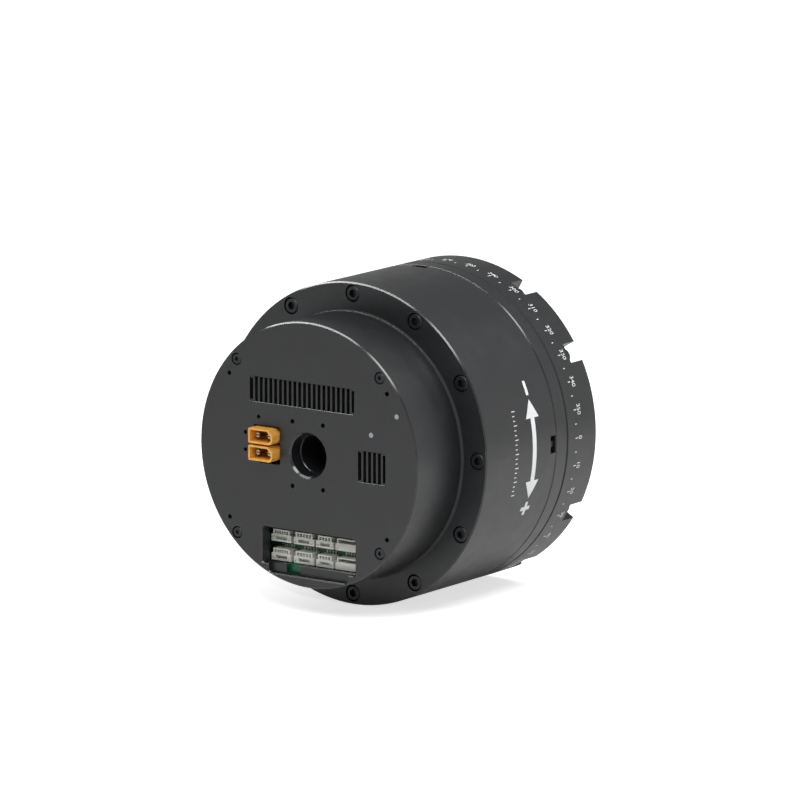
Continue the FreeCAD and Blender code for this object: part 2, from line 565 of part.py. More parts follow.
def signal_window_cuts():
    """The window over the signal headers, the label strip under it, and the port in the strip's floor."""
    floor = COVER_REAR + LABEL_STRIP["depth"]
    left = SIGNAL_WINDOW["x"]
    top = WINDOW_LOW + SIGNAL_WINDOW["height"]
    cuts = opening(left, left + SIGNAL_WINDOW["width"], COVER_REAR, floor, WINDOW_LOW, top,
                   SIGNAL_WINDOW["corner"], WINDOW_BEVEL)
    sill = WINDOW_LOW + WINDOW_SILL
    through = [V(left, COVER_SEAT, top), V(left, floor, top), V(left, floor, sill - WINDOW_SILL_BEVEL),
               V(left, floor + WINDOW_SILL_BEVEL, sill), V(left, COVER_SEAT, sill)]
    cuts.append(Part.Face(Part.makePolygon(through + through[:1])).extrude(V(SIGNAL_WINDOW["width"], 0, 0)))
    left = LABEL_STRIP["x"]
    corner = LABEL_STRIP["corner"]
    cuts += opening(left, left + LABEL_STRIP["width"], COVER_REAR, floor, STRIP_LOW, WINDOW_LOW + corner,
                    corner, WINDOW_BEVEL)
    left = STRIP_PORT["x"]
    cuts.append(block(left, left + STRIP_PORT["width"], COVER_REAR, COVER_SEAT,
                      WINDOW_LOW - STRIP_PORT["height"], WINDOW_LOW + corner))
    return cuts


def signal_window_collar():
    """The collar behind the window's sides and top, which keeps cables off the board's edge."""
    left = SIGNAL_WINDOW["x"]
    right = left + SIGNAL_WINDOW["width"]
    top = WINDOW_LOW + SIGNAL_WINDOW["height"]
    end = COVER_SEAT + WINDOW_COLLAR_DEPTH
    outer = block(left - WINDOW_COLLAR, right + WINDOW_COLLAR, COVER_SEAT, end, WINDOW_LOW, top + WINDOW_COLLAR)
    inner = block(left, right, COVER_SEAT, end, WINDOW_LOW, top)
    return outer.cut(inner).common(rod(NECK_BORE - AIR, COVER_SEAT, end))


def plug_window_cuts():
    """The window round both power plugs."""
    x, z = PLUG_CENTRE
    half_width = PLUG_WIDTH / 2
    half_height = (PLUG_PITCH + PLUG_HEIGHT) / 2
    return opening(x - half_width - PLUG_ROOM["left"], x + half_width + PLUG_ROOM["right"],
                   COVER_REAR, COVER_SEAT,
                   z - half_height - PLUG_ROOM["below"], z + half_height + PLUG_ROOM["above"],
                   PLUG_ROOM["corner"], PLUG_ROOM["bevel"])


def light_places():
    """Where the two status lights stand in the cover."""
    angle = math.radians(OUTER_LIGHT_ANGLE)
    return [(OUTER_LIGHT_CIRCLE * math.cos(angle), OUTER_LIGHT_CIRCLE * math.sin(angle)), INNER_LIGHT]


def on_cover_screws(shape):
    """Copies of a shape at the cover's screws."""
    return circle_of(shape, COVER_SCREW_CIRCLE, even_angles(COVER_SCREW_COUNT, COVER_SCREW_TURN))


def rear_cover():
    """The round plate on the cable side, with vents, port windows and a hub that holds the tube's bush."""
    hub_end = COVER_SEAT + TUBE_REAR_GAP + BUSH_LENGTH
    chamfered = turned([
        (COVER_BORE_RADIUS + COVER_BORE_CHAMFER, COVER_REAR),
        (NECK_RADIUS - EDGE_CHAMFER, COVER_REAR),
        (NECK_RADIUS, COVER_REAR + EDGE_CHAMFER),
        (NECK_RADIUS, COVER_SEAT),
        (NECK_BORE - SLIP, COVER_SEAT),
        (COVER_HUB_RADIUS, COVER_SEAT),
        (COVER_HUB_RADIUS, hub_end),
        (BUSH_RADIUS, hub_end),
        (BUSH_RADIUS, COVER_SEAT + TUBE_REAR_GAP - AIR),
        (COVER_BORE_RADIUS, COVER_SEAT + TUBE_REAR_GAP - AIR),
        (COVER_BORE_RADIUS, COVER_REAR + COVER_BORE_CHAMFER)])
    cuts = vent_cuts(UPPER_VENT) + vent_cuts(SIDE_VENT) + signal_window_cuts() + plug_window_cuts()
    cuts += [rod(LIGHT_RADIUS + SLIP, COVER_REAR, COVER_SEAT, x, z) for x, z in light_places()]
    cuts += [rod(SMALL_HOLE_RADIUS, COVER_REAR, COVER_SEAT, x, z) for x, z in SMALL_HOLES]
    clamp_hole = rod(CLAMP_HOLE_RADIUS, COVER_REAR, COVER_SEAT)
    cuts += circle_of(clamp_hole, CLAMP_HOLE_CIRCLE, CLAMP_HOLE_ANGLES)
    cuts += circle_of(clamp_hole, ACCESSORY_HOLE_CIRCLE, ACCESSORY_HOLE_ANGLES)
    seat = COVER_REAR + M2["height"] + HEAD_SINK
    cuts += on_cover_screws(head_hole(M2, COVER_REAR, seat))
    cuts += on_cover_screws(plain_hole(M2, seat, COVER_SEAT))
    return chamfered.fuse(signal_window_collar()).cut(cuts)


def cover_screws():
    """Four short screws that hold the cover to the neck's bosses."""
    seat = COVER_REAR + M2["height"] + HEAD_SINK
    return on_cover_screws(move(cap_screw(M2, COVER_SCREW_LENGTH), y=seat))


def tube_bush():
    """The plain bush in the cover's hub that steadies the through tube."""
    start = COVER_SEAT + TUBE_REAR_GAP
    return ring(BUSH_RADIUS - SLIP, TUBE_RADIUS + RUNNING, start, start + BUSH_LENGTH)


# ---- casings ----
def on_flange_screws(shape):
    """Copies of a shape at the screws of the rear flange."""
    return circle_of(shape, CASING_SCREW_CIRCLE, even_angles(FLANGE_SCREW_COUNT))


def on_ring_screws(shape):
    """Copies of a shape at the screws in the fixed ring's notches."""
    return circle_of(shape, CASING_SCREW_CIRCLE, RING_SCREW_ANGLES)


def on_brake_screws(shape):
    """Copies of a shape at the brake's screws."""
    return circle_of(shape, BRAKE_SCREW_CIRCLE, even_angles(BRAKE_SCREW_COUNT, BRAKE_SCREW_TURN))


def rear_housing():
    """The neck, its bosses for the cover, the screw flange and the web that carries the rear bearing."""
    boss_rear = REAR_BEARING - SLIP
    shape = turned([
        (NECK_RADIUS, COVER_SEAT),
        (NECK_RADIUS, FLANGE_REAR),
        (BODY_RADIUS - EDGE_CHAMFER, FLANGE_REAR),
        (BODY_RADIUS, FLANGE_REAR + EDGE_CHAMFER),
        (BODY_RADIUS, MOTOR_REAR),
        (HOUSING_BORE_RADIUS - SLIP, MOTOR_REAR),
        (HOUSING_BORE_RADIUS - SLIP, MOTOR_REAR + SPIGOT_LENGTH),
        (HOUSING_BORE_RADIUS - SPIGOT_WALL, MOTOR_REAR + SPIGOT_LENGTH),
        (HOUSING_BORE_RADIUS - SPIGOT_WALL, REAR_WEB_FRONT),
        (BALL_BEARING_OUTER - BEARING_LIP, REAR_WEB_FRONT),
        (BALL_BEARING_OUTER - BEARING_LIP, REAR_WEB_FRONT - BEARING_LIP),
        (BALL_BEARING_OUTER + SLIP, REAR_WEB_FRONT - BEARING_LIP),
        (BALL_BEARING_OUTER + SLIP, boss_rear),
        (BOSS_RADIUS, boss_rear),
        (BOSS_RADIUS, FLANGE_REAR),
        (NECK_BORE, FLANGE_REAR),
        (NECK_BORE, COVER_SEAT)])
    root = [edge for edge in shape.Edges
            if all(abs(vertex.Point.y - FLANGE_REAR) < 0.01
                   and abs(math.hypot(vertex.Point.x, vertex.Point.z) - NECK_RADIUS) < 0.01
                   for vertex in edge.Vertexes)]
    shape = shape.makeFillet(NECK_FILLET, root)
    inside = rod(NECK_RADIUS - NECK_WALL / 2, COVER_SEAT, FLANGE_REAR)
    bosses = [boss.common(inside) for boss in
              on_cover_screws(rod(COVER_BOSS_RADIUS, COVER_SEAT, COVER_SEAT + COVER_BOSS_LENGTH))]
    shape = shape.fuse(bosses)
    cuts = on_cover_screws(move(screw_hole(M2, COVER_SCREW_LENGTH), y=COVER_SEAT))
    seat = FLANGE_REAR + M3["height"] + HEAD_SINK
    cuts += on_flange_screws(head_hole(M3, FLANGE_REAR, seat))
    cuts += on_flange_screws(plain_hole(M3, seat, MOTOR_REAR))
    cuts += circle_of(rod(M25["thread"] / 2 + SLIP, FLANGE_REAR, REAR_WEB_FRONT), BOARD_SCREW_CIRCLE,
                      BOARD_SCREW_ANGLES)
    cuts += circle_of(rod(M2["thread"] / 2 + SLIP, FLANGE_REAR, REAR_WEB_FRONT), ENCODER_SCREW_CIRCLE,
                      ENCODER_SCREW_ANGLES)
    cuts += circle_of(rod(PHASE_LEAD_RADIUS + AIR, FLANGE_REAR, REAR_WEB_FRONT), PHASE_LEAD_CIRCLE,
                      PHASE_LEAD_ANGLES)
    cuts += on_brake_screws(rod(M2["thread"] / 2 + SLIP, FLANGE_REAR, REAR_WEB_FRONT))
    return shape.cut(cuts)


def flange_screws():
    """The socket cap screws that clamp the rear housing to the motor housing."""
    seat = FLANGE_REAR + M3["height"] + HEAD_SINK
    screw = move(cap_screw(M3, FLANGE_SCREW_LENGTH), y=seat)
    return on_flange_screws(screw)


def pry_slot_cuts():
    """Shallow slots in the housing's front edge, each with a deeper pocket at both ends."""
    front = MOTOR_FRONT - PRY_SLOT_EDGE
    rear = front - PRY_SLOT_LENGTH
    half = PRY_SLOT_WIDTH / 2
    floor = BODY_RADIUS - PRY_SLOT_DEPTH
    pocket_floor = BODY_RADIUS - PRY_POCKET_DEPTH
    outside = BODY_RADIUS + OVERCUT
    cutters = [block(floor, outside, rear, front, -half, half)]
    for start in (-half, half - PRY_POCKET_WIDTH):
        cutters.append(block(pocket_floor, outside, rear, front, start, start + PRY_POCKET_WIDTH))
    return [turn(cutter, angle) for angle in PRY_SLOT_ANGLES for cutter in cutters]


def motor_housing():
    """The main barrel: it holds the stator, and its front web carries a bearing and the shaft seal."""
    web_rear = MOTOR_FRONT - FRONT_WEB
    seal_front = MOTOR_FRONT + SEAL_LENGTH
    shape = turned([
        (BODY_RADIUS, MOTOR_REAR),
        (BODY_RADIUS, MOTOR_FRONT - EDGE_CHAMFER),
        (BODY_RADIUS - EDGE_CHAMFER, MOTOR_FRONT),
        (BOSS_RADIUS, MOTOR_FRONT),
        (BOSS_RADIUS, seal_front),
        (BALL_BEARING_OUTER, seal_front),
        (BALL_BEARING_OUTER, MOTOR_FRONT),
        (BALL_BEARING_OUTER - BEARING_LIP, MOTOR_FRONT),
        (BALL_BEARING_OUTER - BEARING_LIP, MOTOR_FRONT - BEARING_LIP),
        (BALL_BEARING_OUTER + SLIP, MOTOR_FRONT - BEARING_LIP),
        (BALL_BEARING_OUTER + SLIP, FRONT_BEARING),
        (BOSS_RADIUS, FRONT_BEARING),
        (BOSS_RADIUS, web_rear),
        (HOUSING_BORE_RADIUS, web_rear),
        (HOUSING_BORE_RADIUS, MOTOR_REAR)])
    cuts = pry_slot_cuts()
    flange_grip = FLANGE_SCREW_LENGTH + M3["height"] + HEAD_SINK - FLANGE_THICKNESS
    cuts += on_flange_screws(move(screw_hole(M3, flange_grip + OVERCUT), y=MOTOR_REAR))
    ring_tip = FRONT - NOTCH_LENGTH - RING_SCREW_LENGTH
    cuts += on_ring_screws(rod(M3["thread"] / 2 + SLIP, ring_tip - OVERCUT, MOTOR_FRONT))
    return shape.cut(cuts)


# ---- circuit boards ----
def board_outline(y0, y1, inner):
    """A round board with cut-outs for the cover's bosses and holes for the board screws."""
    board = ring(BOARD_RADIUS, inner, y0, y1)
    cuts = on_cover_screws(rod(COVER_BOSS_RADIUS + AIR, y0, y1))
    cuts += circle_of(plain_hole(M25, y0, y1), BOARD_SCREW_CIRCLE, BOARD_SCREW_ANGLES)
    return board.cut(cuts)


def control_board():
    """The rear board, with the riser that brings its test pads up to the port in the label strip."""
    left = STRIP_PORT["x"]
    rear = COVER_SEAT + RISER_DEPTH
    riser = block(left - RISER_LEFT, left + STRIP_PORT["width"] + RISER_RIGHT, rear, CONTROL_REAR,
                  -BOARD_RADIUS, LOWER_HEADER_Z - RISER_GAP)
    board = board_outline(CONTROL_REAR, CONTROL_FRONT, TUBE_RADIUS + AIR)
    return board.fuse(riser.common(rod(BOARD_RADIUS, rear, CONTROL_REAR))).removeSplitter()


def board_standoffs():
    """Spacers between the two boards and standoffs from the power board to the rear web."""
    shank = M25["thread"] / 2
    spacer = hexagon(STANDOFF_WIDTH, CONTROL_FRONT, POWER_REAR).cut(
        plain_hole(M25, CONTROL_FRONT, POWER_REAR))
    standoff = hexagon(STANDOFF_WIDTH, POWER_FRONT, FLANGE_REAR).fuse(
        rod(shank, FLANGE_REAR, REAR_WEB_FRONT)).cut(
        rod(shank + SLIP, POWER_FRONT, POWER_FRONT + STANDOFF_THREAD_SHARE * (FLANGE_REAR - POWER_FRONT)))
    return circle_of(spacer, BOARD_SCREW_CIRCLE, BOARD_SCREW_ANGLES) \
        + circle_of(standoff, BOARD_SCREW_CIRCLE, BOARD_SCREW_ANGLES)


def board_screws():
    """Screws that hold both boards to their standoffs."""
    screw = move(cap_screw(M25, BOARD_SCREW_LENGTH), y=CONTROL_REAR)
    return circle_of(screw, BOARD_SCREW_CIRCLE, BOARD_SCREW_ANGLES)


def encoder_board():
    """The ring-shaped board whose read heads face both encoder discs."""
    board = ring(ENCODER_BOARD_RADIUS, ENCODER_BOARD_HOLE, ENCODER_REAR, ENCODER_FRONT)
    return board.cut(circle_of(plain_hole(M2, ENCODER_REAR, ENCODER_FRONT), ENCODER_SCREW_CIRCLE,
                               ENCODER_SCREW_ANGLES))


def encoder_standoffs():
    """Three standoffs, each with its screw, that carry the encoder board."""
    shank = M2["thread"] / 2
    post = hexagon(M2["head"], ENCODER_FRONT, FLANGE_REAR).fuse(
        rod(shank, FLANGE_REAR, REAR_WEB_FRONT)).cut(
        rod(shank + SLIP, ENCODER_FRONT, ENCODER_FRONT + ENCODER_SCREW_LENGTH))
    screw = move(cap_screw(M2, ENCODER_SCREW_LENGTH), y=ENCODER_REAR)
    return circle_of(post, ENCODER_SCREW_CIRCLE, ENCODER_SCREW_ANGLES) \
        + circle_of(screw, ENCODER_SCREW_CIRCLE, ENCODER_SCREW_ANGLES)


def read_heads():
    """One sensor chip on each face of the encoder board."""
    half = READ_HEAD_SIZE / 2
    track = ENCODER_DISC_RADIUS - half
    rear = block(track - half, track + half, ENCODER_REAR - READ_HEAD_HEIGHT, ENCODER_REAR, -half, half)
    front = block(track - half, track + half, ENCODER_FRONT, ENCODER_FRONT + READ_HEAD_HEIGHT, -half, half)
    return [turn(rear, 90), turn(front, 180)]


def plug_place(index):
    """The centre of one of the two power plugs."""
    return PLUG_CENTRE[0], PLUG_CENTRE[1] + (index - 0.5) * PLUG_PITCH


def power_plugs():
    """Two stacked plug bodies, each open to the rear and with two cut corners on one side."""
    bodies = []
    rear = COVER_REAR - PLUG_STANDOUT
    floor = rear + PLUG_CAVITY
    for index in range(2):
        x, z = plug_place(index)
        cuts = [plug_block(x, z, PLUG_WALL, rear, floor)]
        for offset in (-PLUG_PIN_SPACING / 2, PLUG_PIN_SPACING / 2):
            cuts.append(rod(PLUG_PIN_RADIUS + SLIP, floor, CONTROL_REAR, x + offset, z))
        body = plug_block(x, z, 0.0, rear, CONTROL_REAR)
        lengthwise = [edge for edge in body.Edges if edge.Length > CONTROL_REAR - rear - PLUG_ROUNDING]
        bodies.append(body.makeFillet(PLUG_ROUNDING, lengthwise).cut(cuts))
    return bodies


def plug_block(x, z, inset, y0, y1):
    """A plug's section, set in by a wall: a rectangle whose two corners towards +X are cut off."""
    half_width = PLUG_WIDTH / 2 - inset
    half_height = PLUG_HEIGHT / 2 - inset
    low, high = [cut - PLUG_CORNER_TIGHTENING * inset for cut in PLUG_CORNERS]
    outline = [(-half_width, -half_height), (half_width - low, -half_height), (half_width, low - half_height),
               (half_width, half_height - high), (half_width - high, half_height), (-half_width, half_height)]
    points = [V(x + across, y0, z + up) for across, up in outline]
    return Part.Face(Part.makePolygon(points + points[:1])).extrude(V(0, y1 - y0, 0))


def plug_pins():
    """Two round pins in each plug, split by a level slit and soldered to the control board."""
    pins = []
    rear = COVER_REAR - PLUG_STANDOUT + PLUG_PIN_RECESS
    slit_end = rear + PLUG_CAVITY / 2
    half = PLUG_PIN_SLIT / 2
    reach = PLUG_PIN_RADIUS + OVERCUT
    for index in range(2):
        x, z = plug_place(index)
        for centre in (x - PLUG_PIN_SPACING / 2, x + PLUG_PIN_SPACING / 2):
            slit = block(centre - reach, centre + reach, rear, slit_end, z - half, z + half)
            pins.append(rod(PLUG_PIN_RADIUS, rear, CONTROL_REAR, centre, z).cut(slit))
    return pins


def contact_places(left, width, count):
    """The pitch of a header's contacts or mouths and the x of each one's middle."""
    start = left + HEADER_STEP + HEADER_WALL
    pitch = (width - 2 * (HEADER_STEP + HEADER_WALL)) / count
    return pitch, [start + pitch * (index + 0.5) for index in range(count)]


def signal_headers(low):
    """One row of upright headers: stepped boxes with a mouth for each contact and a keyway below them."""
    rear = CONTROL_REAR - HEADER_DEPTH
    shoulder = low + HEADER_HEIGHT * HEADER_SHOULDER
    boxes = []
    for (left, width), count in zip(HEADERS, HEADER_MOUTH_COUNTS):
        right = left + width
        foot = block(left, right, rear, CONTROL_REAR, low, shoulder)
        top = block(left + HEADER_STEP, right - HEADER_STEP, rear, CONTROL_REAR, shoulder, low + HEADER_HEIGHT)
        pitch, middles = contact_places(left, width, count)
        half = pitch * MOUTH_SHARE / 2 if count > 1 else pitch / 2
        cuts = [block(x - half, x + half, rear, rear + HEADER_CAVITY,
                      low + HEADER_HEIGHT * MOUTH_LOW, low + HEADER_HEIGHT * MOUTH_HIGH) for x in middles]
        if count > 1:
            middle = left + width / 2
            half = width * KEYWAY_SHARE / 2
            cuts.append(block(middle - half, middle + half, rear, rear + HEADER_CAVITY / 2,
                              low + HEADER_HEIGHT * KEYWAY_LOW, low + HEADER_HEIGHT * KEYWAY_HIGH))
        cuts += [rod(HEADER_PIP_RADIUS, rear, rear + HEADER_PIP_DEPTH, x, low + HEADER_PIP_INSET)
                 for x in (left + HEADER_PIP_INSET, right - HEADER_PIP_INSET)]
        boxes.append(foot.fuse(top).removeSplitter().cut(cuts))
    return boxes


def header_pins():
    """The square contacts inside the signal headers and their solder tails on the board."""
    rear = CONTROL_REAR - HEADER_DEPTH
    half = HEADER_PIN / 2
    pins = []
    for low in (LOWER_HEADER_Z, UPPER_HEADER_Z):
        z = low + HEADER_HEIGHT * (MOUTH_LOW + MOUTH_HIGH) / 2
        top = low + HEADER_HEIGHT
        for (left, width), count in zip(HEADERS, HEADER_PIN_COUNTS):
            for x in contact_places(left, width, count)[1]:
                pins.append(block(x - half, x + half, rear + HEADER_PIN_RECESS, rear + HEADER_CAVITY,
                                  z - half, z + half))
                pins.append(block(x - half, x + half, CONTROL_REAR - HEADER_TAIL_THICKNESS, CONTROL_REAR,
                                  top, top + HEADER_TAIL))
    return pins


def status_lights():
    """Light pipes from the control board to the cover's face."""
    return [rod(LIGHT_RADIUS, COVER_REAR + SLIP, CONTROL_REAR, x, z) for x, z in light_places()]


def control_chips():
    """Square chips on the control board's rear face."""
    chips = []
    for x, z, size in CHIPS:
        half = size / 2
        chips.append(block(x - half, x + half, CONTROL_REAR - CHIP_HEIGHT, CONTROL_REAR, z - half, z + half))
    return chips


def power_transistors():
    """The six switches of the motor drive, on the power board's front face."""
    half = TRANSISTOR_SIZE / 2
    chip = block(-half, half, POWER_FRONT, POWER_FRONT + CHIP_HEIGHT, -half, half)
    return circle_of(chip, TRANSISTOR_CIRCLE, even_angles(TRANSISTOR_COUNT, TRANSISTOR_TURN))


def bus_capacitors():
    """Upright capacitors on the power board's front face."""
    can = rod(CAPACITOR_RADIUS, POWER_FRONT, POWER_FRONT + CAPACITOR_HEIGHT)
    return circle_of(can, CAPACITOR_CIRCLE, CAPACITOR_ANGLES)


def phase_leads():
    """Three copper rods from the power board through the rear web to the windings."""
    winding_rear = STATOR_REAR - WINDING_OVERHANG
    return circle_of(rod(PHASE_LEAD_RADIUS, POWER_FRONT, winding_rear), PHASE_LEAD_CIRCLE, PHASE_LEAD_ANGLES)


# ---- motor ----
def stator_core():
    """The laminated ring: a yoke with one tooth and shoe for each slot."""
    yoke = ring(HOUSING_BORE_RADIUS - SLIP, HOUSING_BORE_RADIUS - STATOR_YOKE, STATOR_REAR, STATOR_FRONT)
    shoes = ring(STATOR_BORE_RADIUS + TOOTH_SHOE, STATOR_BORE_RADIUS, STATOR_REAR, STATOR_FRONT)
    opening = block(0, STATOR_BORE_RADIUS + TOOTH_SHOE + OVERCUT, STATOR_REAR, STATOR_FRONT,
                    -SLOT_OPENING / 2, SLOT_OPENING / 2)
    half_slot = 180.0 / STATOR_SLOTS
    shoes = shoes.cut([turn(opening, angle) for angle in even_angles(STATOR_SLOTS, half_slot)])
    half = TOOTH_WIDTH / 2
    tooth = block(STATOR_BORE_RADIUS + TOOTH_SHOE / 2, HOUSING_BORE_RADIUS - STATOR_YOKE / 2,
                  STATOR_REAR, STATOR_FRONT, -half, half)
    teeth = [turn(tooth, angle) for angle in even_angles(STATOR_SLOTS)]
    return yoke.fuse([shoes] + teeth).removeSplitter()


def stator_coils():
    """One wound coil round each stator tooth."""
    inner_radius = STATOR_BORE_RADIUS + TOOTH_SHOE + COIL_INSULATION
    outer_radius = HOUSING_BORE_RADIUS - STATOR_YOKE - COIL_INSULATION
    hole = TOOTH_WIDTH / 2 + COIL_INSULATION
    middle = (inner_radius + outer_radius) / 2
    near = coil_loop(inner_radius, middle, hole + COIL_THICKNESS, hole)
    far = coil_loop(middle, outer_radius, hole + COIL_OUTER_SHARE * COIL_THICKNESS, hole)
    coil = near.fuse(far).removeSplitter()
    return [turn(coil, angle) for angle in even_angles(STATOR_SLOTS)]


def coil_loop(x0, x1, half, hole):
    """A closed loop of winding round a tooth, between two radii."""
    rear = STATOR_REAR - WINDING_OVERHANG
    front = STATOR_FRONT + WINDING_OVERHANG
    outer = block(x0, x1, rear, front, -half, half)
    edges = [edge for edge in outer.Edges if abs(edge.tangentAt(edge.FirstParameter).x) > 0.9]
    outer = outer.makeFillet(COIL_CORNER, edges)
    return outer.cut(block(x0, x1, STATOR_REAR - COIL_INSULATION, STATOR_FRONT + COIL_INSULATION,
                           -hole, hole))


def rotor_core():
    """The rotor's iron rim and its web, with a hub on the shaft."""
    middle = (STATOR_REAR + STATOR_FRONT) / 2
    rim = ring(MAGNET_INNER - SLIP, ROTOR_RIM_INNER, STATOR_REAR, STATOR_FRONT)
    web = ring(ROTOR_RIM_INNER + ROTOR_WEB_BITE, SHAFT_RADIUS + SLIP,
               middle - ROTOR_WEB / 2, middle + ROTOR_WEB / 2)
    hub = ring(SHAFT_RADIUS + ROTOR_HUB_WALL, SHAFT_RADIUS + SLIP, middle - ROTOR_WEB, middle + ROTOR_WEB)
    return rim.fuse([web, hub]).removeSplitter()


def rotor_magnets():
    """Curved magnets glued round the rotor's rim."""
    pole = 360.0 / MAGNET_COUNT
    shell = rod(MAGNET_OUTER, STATOR_REAR, STATOR_FRONT).cut(rod(MAGNET_INNER, STATOR_REAR, STATOR_FRONT))
    half = math.radians(pole - MAGNET_GAP_ANGLE) / 2
    reach = 2 * MAGNET_OUTER
    wedge_points = [V(0, STATOR_REAR, 0), V(reach * math.cos(half), STATOR_REAR, reach * math.sin(half)),
                    V(reach * math.cos(half), STATOR_REAR, -reach * math.sin(half))]
    wedge = Part.Face(Part.makePolygon(wedge_points + wedge_points[:1])).extrude(V(0, STACK_LENGTH, 0))
    magnet = shell.common(wedge)
    return [turn(magnet, angle) for angle in even_angles(MAGNET_COUNT)]


def rotor_shaft():
    """The hollow motor shaft, from its encoder seat to the flange that drives the wave generator."""
    flange_rear = TOOTH_REAR - SHAFT_FLANGE_THICKNESS
    shape = turned([
        (SHAFT_BORE, SHAFT_REAR),
        (SHAFT_RADIUS, SHAFT_REAR),
        (SHAFT_RADIUS, flange_rear),
        (SHAFT_FLANGE_RADIUS, flange_rear),
        (SHAFT_FLANGE_RADIUS, TOOTH_REAR),
        (SHAFT_RADIUS, TOOTH_REAR),
        (SHAFT_RADIUS, TOOTH_FRONT),
        (SHAFT_BORE, TOOTH_FRONT)])
    holes = circle_of(rod(M2["thread"] / 2 + SLIP, flange_rear, TOOTH_REAR), WAVE_SCREW_CIRCLE,
                      even_angles(WAVE_SCREW_COUNT))
    return shape.cut(holes)


# ---- rotor bearings ----
def bearing_pair(piece):
    """A bearing piece made with its rear face at y=0, placed at both rotor bearings."""
    return [move(piece, y=REAR_BEARING), move(piece, y=FRONT_BEARING)]


def race_groove():
    """The groove that the balls run in."""
    return Part.makeTorus(BALL_CIRCLE, BALL_RADIUS + RUNNING, V(0, BALL_BEARING_WIDTH / 2, 0), V(0, 1, 0))


def outer_races():
    """Outer rings of the two rotor bearings."""
    race = ring(BALL_BEARING_OUTER, BALL_CIRCLE + RACE_SHOULDER, 0, BALL_BEARING_WIDTH)
    return bearing_pair(race.cut(race_groove()))


def inner_races():
    """Inner rings of the two rotor bearings."""
    race = ring(BALL_CIRCLE - RACE_SHOULDER, SHAFT_RADIUS + SLIP, 0, BALL_BEARING_WIDTH)
    return bearing_pair(race.cut(race_groove()))


def ball_ring(radius, circle, count, y):
    """Evenly spaced balls on a circle round the axis."""
    ball = Part.makeSphere(radius, V(0, y, 0), V(0, 1, 0))
    return circle_of(ball, circle, even_angles(count))


def bearing_cages():
    """Thin cages that space the balls of the rotor bearings."""
    middle = BALL_BEARING_WIDTH / 2
    cage = ring(BALL_CIRCLE + CAGE_WALL, BALL_CIRCLE - CAGE_WALL,
                middle - CAGE_WIDTH / 2, middle + CAGE_WIDTH / 2)
    return bearing_pair(cage.cut(ball_ring(BALL_RADIUS + RUNNING, BALL_CIRCLE, BALL_COUNT, middle)))


def bearing_balls():
    """The balls of both rotor bearings."""
    return [ball for y in (REAR_BEARING, FRONT_BEARING)
            for ball in ball_ring(BALL_RADIUS, BALL_CIRCLE, BALL_COUNT, y + BALL_BEARING_WIDTH / 2)]


def shaft_seal():
    """The lip seal that keeps the gear's grease out of the motor."""
    rear = MOTOR_FRONT
    lip = SHAFT_RADIUS + RUNNING
    outer = BALL_BEARING_OUTER - SLIP
    front = rear + SEAL_LENGTH
    return turned([(outer, rear), (outer, front), (outer - SEAL_WALL, front),
                   (outer - SEAL_WALL, rear + SEAL_WEB), (lip + SEAL_WALL, rear + SEAL_WEB),
                   (lip + SEAL_LIP, front - SEAL_LIP_BACK), (lip, front - SEAL_LIP_EDGE),
                   (lip + SEAL_LIP_ROOT, rear)])


# ---- brake ----
def brake_magnet():
    """The brake's iron body, with a groove for its coil and pockets for its springs."""
    body = ring(BRAKE_RADIUS, BRAKE_BORE_RADIUS, BRAKE_REAR, BRAKE_FRONT)
    cuts = [ring(BRAKE_COIL_OUTER, BRAKE_COIL_INNER, BRAKE_FRONT - BRAKE_COIL_DEPTH, BRAKE_FRONT)]
    pocket = rod(BRAKE_SPRING_RADIUS + BRAKE_SPRING_WIRE + SCREW_SLACK,
                 BRAKE_FRONT - BRAKE_SPRING_LENGTH, BRAKE_FRONT)
    cuts += circle_of(pocket, BRAKE_SPRING_CIRCLE, even_angles(BRAKE_SPRING_COUNT))
    cuts += on_brake_screws(plain_hole(M2, BRAKE_REAR, BRAKE_FRONT))
    return body.cut(cuts)


def brake_coil():
    """The coil in the brake's groove."""
    return ring(BRAKE_COIL_OUTER - SLIP, BRAKE_COIL_INNER + SLIP, BRAKE_FRONT - BRAKE_COIL_DEPTH,
                BRAKE_FRONT - BRAKE_LIFT)


def brake_springs():
    """Small coil springs that push the armature against the friction disc."""
    length = BRAKE_SPRING_LENGTH - 2 * BRAKE_SPRING_WIRE
    pitch = length / BRAKE_SPRING_TURNS
    helix = Part.makeHelix(pitch, length, BRAKE_SPRING_RADIUS)
    section = Part.Wire([Part.makeCircle(BRAKE_SPRING_WIRE, V(BRAKE_SPRING_RADIUS, 0, 0), V(0, 1, 0))])
    spring = Part.Wire(helix.Edges).makePipeShell([section], True, True)
    spring.rotate(V(0, 0, 0), V(1, 0, 0), -90)
    spring.translate(V(0, BRAKE_FRONT - BRAKE_SPRING_LENGTH + BRAKE_SPRING_WIRE, 0))
    return circle_of(spring, BRAKE_SPRING_CIRCLE, even_angles(BRAKE_SPRING_COUNT))


def brake_armature():
    """The sliding plate that clamps the friction disc when the brake's coil is off."""
    front = ARMATURE_REAR + ARMATURE_THICKNESS
    plate = ring(BRAKE_RADIUS - AIR, BRAKE_BORE_RADIUS, ARMATURE_REAR, front)
    holes = on_brake_screws(rod(M2["head"] / 2 + AIR, ARMATURE_REAR, front))
    return plate.cut(holes)


def brake_end_plate():
    """The fixed plate in front of the friction disc, with three feet that stand on the brake's body."""
    plate = ring(BRAKE_RADIUS, BRAKE_BORE_RADIUS + 2 * AIR, END_PLATE_REAR, END_PLATE_FRONT)
    feet = on_brake_screws(rod(M2["head"] / 2, BRAKE_FRONT, END_PLATE_REAR))
    seat = END_PLATE_FRONT - M2["height"]
    holes = on_brake_screws(plain_hole(M2, BRAKE_FRONT, seat))
    holes += on_brake_screws(head_hole(M2, seat, END_PLATE_FRONT))
    return plate.fuse(feet).cut(holes)


